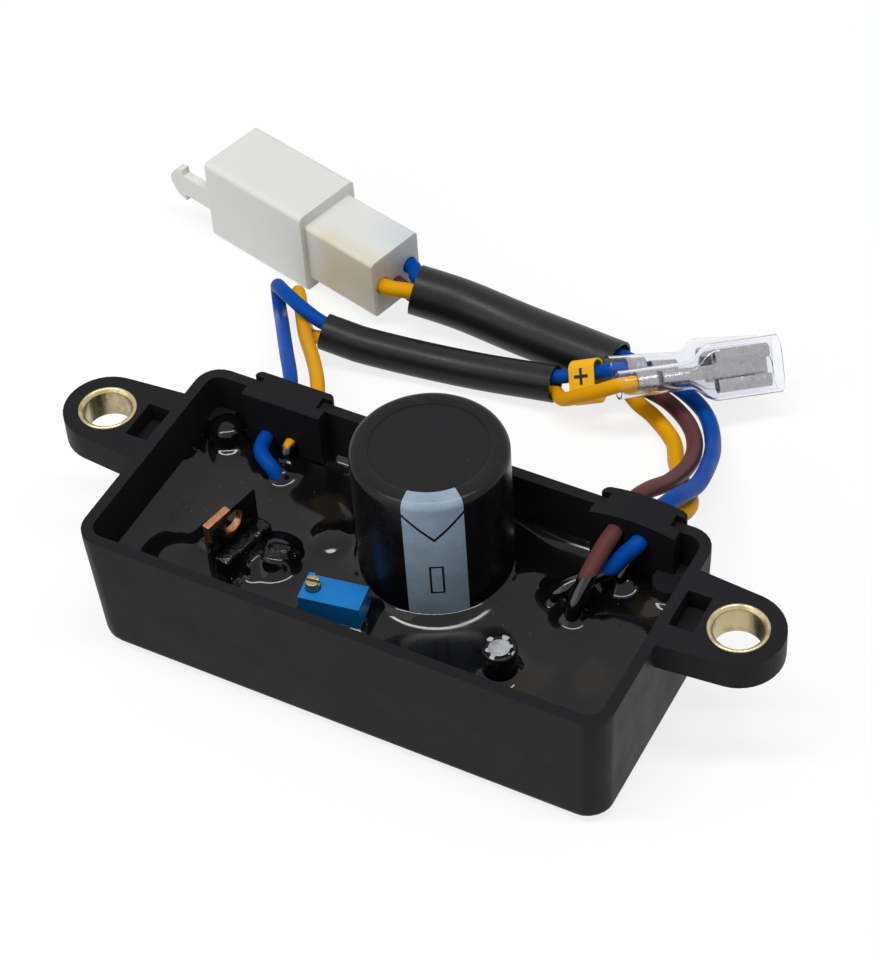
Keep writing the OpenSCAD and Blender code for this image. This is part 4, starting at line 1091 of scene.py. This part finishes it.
class BuildPotting(bpy.types.Operator):
    """Makes the poured resin, which climbs up the walls and the parts that stand in it"""

    bl_idname = "regulator.build_potting"
    bl_label = "Potting"

    def height(self, x, y, low, high, rounds, blocks, potting):
        """Height of the resin at one place, among the round parts and the blocks that stand in it."""
        near = [(min(x - low.x, high.x - x, y - low.y, high.y - y), *WALL_CLIMB)]
        near += [(round_distance(x, y, place, radius), *climb) for place, radius, *climb in rounds]
        near += [(box_distance(x, y, middle, yaw, length, width), *climb)
                 for middle, yaw, length, width, *climb in blocks]
        climb = max(share * math.exp(-max(0.0, distance) / (width * potting.reach))
                    for distance, share, width in near)
        soft = max(mound(x, y, *m) for m in MOUNDS)
        ripple = noise.noise(Vector((x * RIPPLES_PER_METRE, y * RIPPLES_PER_METRE, 0.3))) * RIPPLE_HEIGHT
        return high.z + climb * potting.climb + soft + ripple

    def execute(self, context):
        potting = settings(context, "potting")
        low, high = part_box("potting_resin")
        rounds = [(centre(node), *rest) for node, *rest in ROUND_CLIMBS] + list(PLACE_CLIMBS)
        blocks = [(centre(node), *rest) for node, *rest in BLOCK_CLIMBS]
        columns = int((high.x - low.x) / potting.cell)
        rows = int((high.y - low.y) / potting.cell)
        middle = (low + high) / 2
        top = []
        for j in range(rows + 1):
            for i in range(columns + 1):
                x = low.x + (high.x - low.x) * i / columns
                y = low.y + (high.y - low.y) * j / rows
                turn = Vector((abs(x - middle.x) - (high.x - middle.x) + RESIN_CORNER,
                               abs(y - middle.y) - (high.y - middle.y) + RESIN_CORNER))
                if turn.x > 0 and turn.y > 0 and turn.length > RESIN_CORNER:
                    pull = turn * (1 - RESIN_CORNER / turn.length)
                    x -= math.copysign(pull.x, x - middle.x)
                    y -= math.copysign(pull.y, y - middle.y)
                top.append((x, y, self.height(x, y, low, high, rounds, blocks, potting)))
        wide = columns + 1
        faces = ring_faces(rows + 1, wide, closed_sides=False)
        edge = list(range(columns)) + [j * wide + columns for j in range(rows)]
        edge += [rows * wide + i for i in range(columns, 0, -1)] + [j * wide for j in range(rows, 0, -1)]
        start, count = len(top), len(edge)
        bottom = [(top[k][0], top[k][1], low.z) for k in edge]
        faces += [(edge[k], start + k, start + (k + 1) % count, edge[(k + 1) % count]) for k in range(count)]
        faces.append(tuple(start + k for k in reversed(range(count))))
        piece = mesh_object("dressed_potting_resin", top + bottom, faces)
        resin = self.material(potting)
        dress(piece, resin, "potting_resin")
        self.drop(resin)
        return {"FINISHED"}

    def drop(self, resin):
        """A drop of resin on the left post."""
        place, radius, tall = (-0.0376, 0.0144, 0.01702), 0.0028, 0.0013
        steps = [math.pi / 2 * k / 8 for k in range(8)]
        profile = [(radius * math.cos(a), tall * math.sin(a)) for a in steps] + [(0.0002, tall)]
        piece = lathe("resin_drop", profile, place, sides=40, wobble=0.05)
        piece.data.materials.append(resin)
        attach(piece, BODY)

    def thin_mask(self, tree, place):
        """Uneven patches round the thin places."""
        resin_top, wave, start, full = 0.0138, 0.006, 0.0028, 0.001
        uneven = times(tree, noise_value(tree, 330.0, 4.0, 0.6, place), wave)
        mask = 0.0
        for spot, width in THIN_PLACES:
            ends = {0: place, 1: (*spot, resin_top)}
            away = add_node(tree, "ShaderNodeVectorMath", ends, operation="DISTANCE")
            blurred = add(tree, away.outputs["Value"], uneven)
            mask = largest(tree, remap(tree, blurred, width + start, width + full), mask)
        return mask

    def material(self, potting):
        """Glossy near-black resin with thin brown places, trapped bubbles and a little dust."""
        material, tree, surface = new_material("potting_resin", {"Specular IOR Level": 0.28})
        place = object_place(tree)
        dust = place_group(tree, "Dust and Glint Specks", specks_per_metre=900.0, speck_size=0.05)["Mask"]
        browned = mix_colours(tree, self.thin_mask(tree, place), potting.colour, potting.bare_colour)
        feed(surface, "Base Color", mix_colours(tree, times(tree, dust, 0.5), browned, DUST_ON_RESIN))
        haze = noise_value(tree, 240.0, 4.0, 0.6, place)
        feed(surface, "Roughness", remap(tree, haze, 0.4, 0.75, 0.04, 0.16))
        cells = add_node(tree, "ShaderNodeTexVoronoi", {"Vector": place, "Scale": 420.0})
        bubbles = remap(tree, cells.outputs["Distance"], 0.0, 0.1, 1.0, 0.0)
        waves = noise_value(tree, 500.0, 2.0, 0.5, place)
        set_bump(tree, surface, add(tree, times(tree, bubbles, 0.4), times(tree, waves, 0.15)), 0.00008, 0.5)
        return material


# Capacitors


def rounded_top(radius, low, high, edge, lip, drop):
    """Profile of a shrunk film: wall, rounded shoulder and a lip that turns in over the top."""
    arc = [(radius - edge + edge * math.sin(a), high - edge + edge * math.cos(a))
           for a in (math.pi / 2 * (1 - k / 8) for k in range(9))]
    return [(radius, low), *arc, (lip + 0.3 * MM, high), (lip, high - 0.08 * MM), (lip, high - drop)]


def film_material(name, components, printed_part, ink):
    """Shrunk black film with faint wrinkles and scuffs; printed_part gives the mask of its printed ink."""
    material, tree, surface = new_material(name, {"Specular IOR Level": 0.2})
    marks = place_group(tree, "Handling Marks", amount=0.7, marks_per_metre=140.0)["Mask"]
    grained = place_group(tree, "Moulded Grain", grain_per_metre=1500.0, gloss_per_metre=260.0)
    patchy = spread(tree, grained["Gloss"], 0.8, 1.0)
    printed = times(tree, printed_part(tree, object_axes(tree), components), patchy)
    colour = mix_colours(tree, printed, components.film, ink)
    feed(surface, "Base Color", mix_colours(tree, times(tree, marks, 0.25), colour, SCUFFED_FILM))
    feed(surface, "Roughness", spread(tree, grained["Gloss"], 0.2, 0.34))
    set_bump(tree, surface, grained["Height"], 0.00004)
    return material


def polarity_stripe(tree, place, components):
    """Mask of the upright stripe without its dark signs."""
    angle = math_node(tree, "ARCTAN2", place["Y"], place["X"])
    off = minus(tree, angle, components.stripe_middle)
    aside = unsigned(tree, off)
    stripe = is_below(tree, aside, components.stripe_half)
    return times(tree, stripe, polarity_mark(tree, off, aside, place["Z"]))


def cracked_lip(tree, place, components):
    """Mask of the pale flakes on the lip of the small film."""
    lip_radius, lip_depth = 0.0024, 0.0005
    ring = times(tree, is_below(tree, across(tree, place["X"], place["Y"]), lip_radius),
                 is_above(tree, place["Z"], components.small_top - lip_depth))
    cells = add_node(tree, "ShaderNodeTexVoronoi", {"Vector": object_place(tree), "Scale": 900.0}).outputs
    flakes = times(tree, is_above(tree, cells["Color"], 0.5), is_below(tree, cells["Distance"], 0.5))
    return times(tree, ring, flakes)


def polarity_mark(tree, off, aside, height):
    """What is left of the stripe beside its dark chevron line and its outlined bar, the sign for minus."""
    slope, point, stroke = 0.0122, 0.0317, 0.0003
    chevron_line = add(tree, times(tree, aside, slope), point)
    chevron = is_below(tree, unsigned(tree, minus(tree, height, chevron_line)), stroke)
    radius, bar_half, bar_middle, bar_tall, bar_stroke = 0.0117, 0.00092, 0.0233, 0.0027, 0.00016
    sideways = unsigned(tree, times(tree, off, radius))
    upward = unsigned(tree, minus(tree, height, bar_middle))
    outside = largest(tree, minus(tree, sideways, bar_half), minus(tree, upward, bar_tall))
    outline = is_below(tree, unsigned(tree, outside), bar_stroke)
    return minus(tree, 1.0, largest(tree, chevron, outline))


class BuildCapacitors(bpy.types.Operator):
    """Makes the film of both capacitors and finishes their cans, disc and seal"""

    bl_idname = "regulator.build_capacitors"
    bl_label = "Capacitors"

    def execute(self, context):
        components = settings(context, "components")
        for node, edge, lip, printed_part, ink in (
                ("capacitor_sleeve", 1.2 * MM, 8.85 * MM, polarity_stripe, components.stripe),
                ("small_capacitor_sleeve", 0.5 * MM, 1.6 * MM, cracked_lip, components.flakes)):
            low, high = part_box(node)
            profile = rounded_top((high.x - low.x) / 2, low.z, high.z, edge, lip, LIP_DROP)
            middle = (low + high) / 2
            film = lathe("dressed_" + node, profile, (middle.x, middle.y, 0), sides=128, wobble=0.004)
            dress(film, film_material(node + "_film", components, printed_part, ink), node)
        disc = moulded_material(
            "capacitor_disc", (0.01, 0.01, 0.0115), rough=0.5, grain=2600.0, depth=0.00006, worn=0.4,
            specular=0.12)
        paint(bevelled_copy("capacitor_top_disc"), disc)
        aluminium = metal_material("can_aluminium", (0.52, 0.53, 0.55), rough=0.35, tarnish=0.4)
        paint(bevelled_copy("small_capacitor_can"), aluminium)
        paint(NODES["capacitor_can"], aluminium)
        paint(NODES["capacitor_seal"], moulded_material("seal_rubber", (0.03, 0.03, 0.03), rough=0.6))
        return {"FINISHED"}


# Components on the board


def tab_material(copper, resin, top):
    """Copper of the transistor tab, bare at its front upper edge and round its hole, and resin elsewhere."""
    material, tree, surface = new_material("transistor_tab", {"Specular IOR Level": 0.3})
    place = object_axes(tree)
    uneven = times(tree, noise_value(tree, 700.0, 4.0, 0.6), 0.0012)
    down = add(tree, minus(tree, top, place["Z"]), uneven)
    aside = add(tree, place["Y"], uneven)
    edge_depth, edge_width, corner_depth, corner_start = 0.0017, 0.0003, 0.0042, -0.0046
    edge = times(tree, is_below(tree, down, edge_depth), is_below(tree, aside, edge_width))
    hole_down, rim = 0.0028, 0.0027
    away = across(tree, place["Y"], minus(tree, place["Z"], top - hole_down))
    round_hole = is_below(tree, add(tree, away, uneven), rim)
    corner = times(tree, is_below(tree, place["Y"], corner_start), is_below(tree, down, corner_depth))
    bare = largest(tree, edge, largest(tree, round_hole, corner))
    streak = place_group(tree, "Metal Streaks", streaks_per_metre=1400.0)["Streak"]
    metal = mix_colours(tree, times(tree, streak, 0.6), copper, [channel * 0.4 for channel in copper])
    feed(surface, "Base Color", mix_colours(tree, bare, resin, metal))
    feed(surface, "Metallic", bare)
    feed(surface, "Roughness", spread(tree, bare, 0.12, 0.32))
    set_bump(tree, surface, noise_value(tree, 1100.0, 3.0), 0.0001)
    return material


def coat_material(resin):
    """Thick glossy resin on parts that were dipped, with painted glints: small white specks that stand in for
    the sparkle of its lumps.
    """
    material, tree, surface = new_material("resin_coat", {"Specular IOR Level": 0.22})
    # Painted highlights: white specks in the base colour stand in for glints on the lumpy coat
    painted_glints = place_group(tree, "Dust and Glint Specks", specks_per_metre=1500.0, speck_size=0.16)["Mask"]
    feed(surface, "Base Color", mix_colours(tree, painted_glints, resin, (0.8, 0.8, 0.82)))
    feed(surface, "Roughness", remap(tree, noise_value(tree, 500.0), 0.3, 0.7, 0.04, 0.14))
    set_bump(tree, surface, noise_value(tree, 700.0, 3.0, 0.6), 0.0003)
    return material


class BuildComponents(bpy.types.Operator):
    """Makes the trimmer, the transistor and the coated part, and finishes the board and the pins"""

    bl_idname = "regulator.build_components"
    bl_label = "Components"

    def execute(self, context):
        components = settings(context, "components")
        resin = settings(context, "potting").colour
        blue = moulded_material(
            "trimmer_blue", components.trimmer_colour, rough=0.34, grain=3000.0, depth=0.00002, worn=0.3,
            dusty=0.05)
        paint(bevelled_copy("trimmer_body"), blue)
        screw = bevelled_copy("trimmer_screw")
        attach(screw, SCREW_BODY)
        brass = metal_material(
            "screw_brass", components.screw_brass, rough=0.32, tarnish=0.5, streaks=2500.0)
        paint(screw, brass)
        tab = moved_to_frame(bevelled_copy("transistor_tab"),
                             upright_frame(centre("transistor_tab"), TRANSISTOR_YAW))
        paint(tab, tab_material(components.copper, resin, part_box("transistor_tab")[1].z))
        coat = coat_material(resin)
        resin_coated("transistor_body", coat, thick=0.0004)
        resin_coated("coated_part", coat, thick=0.0007)
        paint(NODES["circuit_board"], moulded_material("board_laminate", (0.05, 0.16, 0.08), rough=0.4))
        tinned = metal_material("tinned_pin", (0.72, 0.71, 0.69), rough=0.3, tarnish=0.4, streaks=2000.0)
        for node in NODES:
            if slot_of(node) == "tinned_pin":
                paint(NODES[node], tinned)
        return {"FINISHED"}


# Connector and terminals


def nylon_material(colour):
    """Milky nylon with faint flow lines, and painted tints on its rear part that stand in for the wires and
    their shade seen through the nylon.
    """
    # Painted see-through colour: amber and blue tints stand in for the wires, and their shade, that light
    # through the nylon would show
    see_through_amber, see_through_blue = (0.7, 0.56, 0.27), (0.3, 0.48, 0.75)
    material, tree, surface = new_material("connector_nylon", {
        "Specular IOR Level": 0.3, "Subsurface Weight": 0.4, "Subsurface Scale": 0.002,
        "Subsurface Radius": (1.0, 1.0, 0.8)})
    axes = object_axes(tree)
    grained = place_group(tree, "Moulded Grain", grain_per_metre=1600.0, gloss_per_metre=150.0)
    cloudy = remap(tree, noise_value(tree, 120.0, 3.0, 0.5), 0.35, 0.7, 0.4, 1.0)
    amber_start, amber_full, blue_start, blue_full = 0.022, 0.028, 0.029, 0.038
    rear = times(tree, remap(tree, axes["X"], amber_start, amber_full), cloudy)
    front_side = remap(tree, axes["Y"], 0.005, 0.0012, 0.0, 0.55)
    back_side = remap(tree, axes["Y"], 0.004, 0.01, 0.0, 0.3)
    far_end = times(tree, remap(tree, axes["X"], blue_start, blue_full), back_side)
    # Painted amber on the front side of the rear part, and painted blue at the far end
    painted_amber = mix_colours(tree, times(tree, rear, front_side), colour, see_through_amber)
    feed(surface, "Base Color", mix_colours(tree, far_end, painted_amber, see_through_blue))
    feed(surface, "Roughness", spread(tree, grained["Gloss"], 0.3, 0.42))
    set_bump(tree, surface, grained["Height"], 0.00003)
    return material


def clear_material(colour):
    """Clear soft plastic, slightly hazy."""
    material, tree, surface = new_material("cover_clear", {
        "Transmission Weight": 1.0, "IOR": 1.3, "Specular IOR Level": 0.5})
    haze = noise_value(tree, 300.0, 3.0, 0.5)
    feed(surface, "Roughness", remap(tree, haze, 0.3, 0.7, 0.03, 0.16))
    feed(surface, "Base Color", mix_colours(tree, haze, colour, [c * 0.97 for c in colour]))
    return material


def cover_ring(x, width, height, power):
    """Ring of a cover: round at the neck and flat-sided at the mouth."""
    turns = [2 * math.pi * k / COVER_SIDES for k in range(COVER_SIDES)]
    return [Vector((x, width / 2 * math.copysign(abs(math.cos(a)) ** power, math.cos(a)),
                    height / 2 * math.copysign(abs(math.sin(a)) ** power, math.sin(a)))) for a in turns]


def cover_rings(inset):
    """Rings of a terminal cover, or of its inside when set in by its wall: neck, flare and wide end."""
    length, neck, wide, tall = 0.027, 0.0046, 0.0094, 0.0054
    flare, turn = 0.012, 0.004
    rings = []
    for k in range(COVER_STEPS + 1):
        x = length * k / COVER_STEPS
        share = min(1.0, max(0.0, (x - flare) / turn))
        share = share * share * (3 - 2 * share)
        rings.append(cover_ring(x, neck + (wide - neck) * share - 2 * inset,
                                neck + (tall - neck) * share - 2 * inset, 1.0 - 0.4 * share))
    return rings


class BuildFittings(bpy.types.Operator):
    """Makes the connector, the two spade terminals and their clear covers"""

    bl_idname = "regulator.build_fittings"
    bl_label = "Fittings"

    def execute(self, context):
        fittings = settings(context, "fittings")
        connector = moved_to_frame(bevelled_copy("connector_housing"),
                                   upright_frame(behind_wall([CONNECTOR])[0], CONNECTOR_YAW))
        paint(connector, nylon_material(fittings.nylon))
        brass = metal_material("tab_brass", fittings.tab_brass, rough=0.3, tarnish=0.4)
        for number in (1, 2, 3):
            paint(bevelled_copy(f"connector_tab_{number}"), brass)
        tin = metal_material("terminal_tin", fittings.tin, rough=0.22, tarnish=0.35)
        clear = clear_material(fittings.clear)
        for colour, place in (("blue", REAR_TERMINAL), ("yellow", FRONT_TERMINAL)):
            paint(bevelled_copy("brush_terminal_" + colour), tin)
            cover = walled_loft("dressed_terminal_cover_" + colour, cover_rings(0.0), cover_rings(COVER_WALL))
            cover.matrix_world = turned_place(*place)
            dress(cover, clear, "terminal_cover_" + colour)
        return {"FINISHED"}


OPERATORS = (
    BuildStage, BuildFittings, BuildLeads, BuildTray, BuildPotting, BuildCapacitors, BuildComponents,
)


class RegulatorPanel(bpy.types.Panel):
    """Lists the steps and their settings"""

    bl_idname = "VIEW3D_PT_regulator"
    bl_label = "Regulator"
    bl_space_type = "VIEW_3D"
    bl_region_type = "UI"
    bl_category = "Regulator"

    def draw(self, context):
        for step in OPERATORS:
            self.layout.operator(step.bl_idname)
        for name, group in SETTINGS.items():
            box = self.layout.box()
            box.label(text=name.replace("regulator_", "").title())
            for prop in group.__annotations__:
                box.prop(getattr(context.scene, name), prop)


CLASSES = (*SETTINGS.values(), *OPERATORS, RegulatorPanel)


def register():
    """Registers the classes and hangs the settings on the scene."""
    for item in CLASSES:
        bpy.utils.register_class(item)
    for name, group in SETTINGS.items():
        setattr(bpy.types.Scene, name, PointerProperty(type=group))


def unregister():
    """Takes back what register did."""
    for name in SETTINGS:
        delattr(bpy.types.Scene, name)
    for item in reversed(CLASSES):
        bpy.utils.unregister_class(item)


def main():
    """Registers the classes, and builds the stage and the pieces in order."""
    register()
    for step in OPERATORS:
        group, name = step.bl_idname.split(".")
        getattr(getattr(bpy.ops, group), name)()


if __name__ == "__main__":
    main()
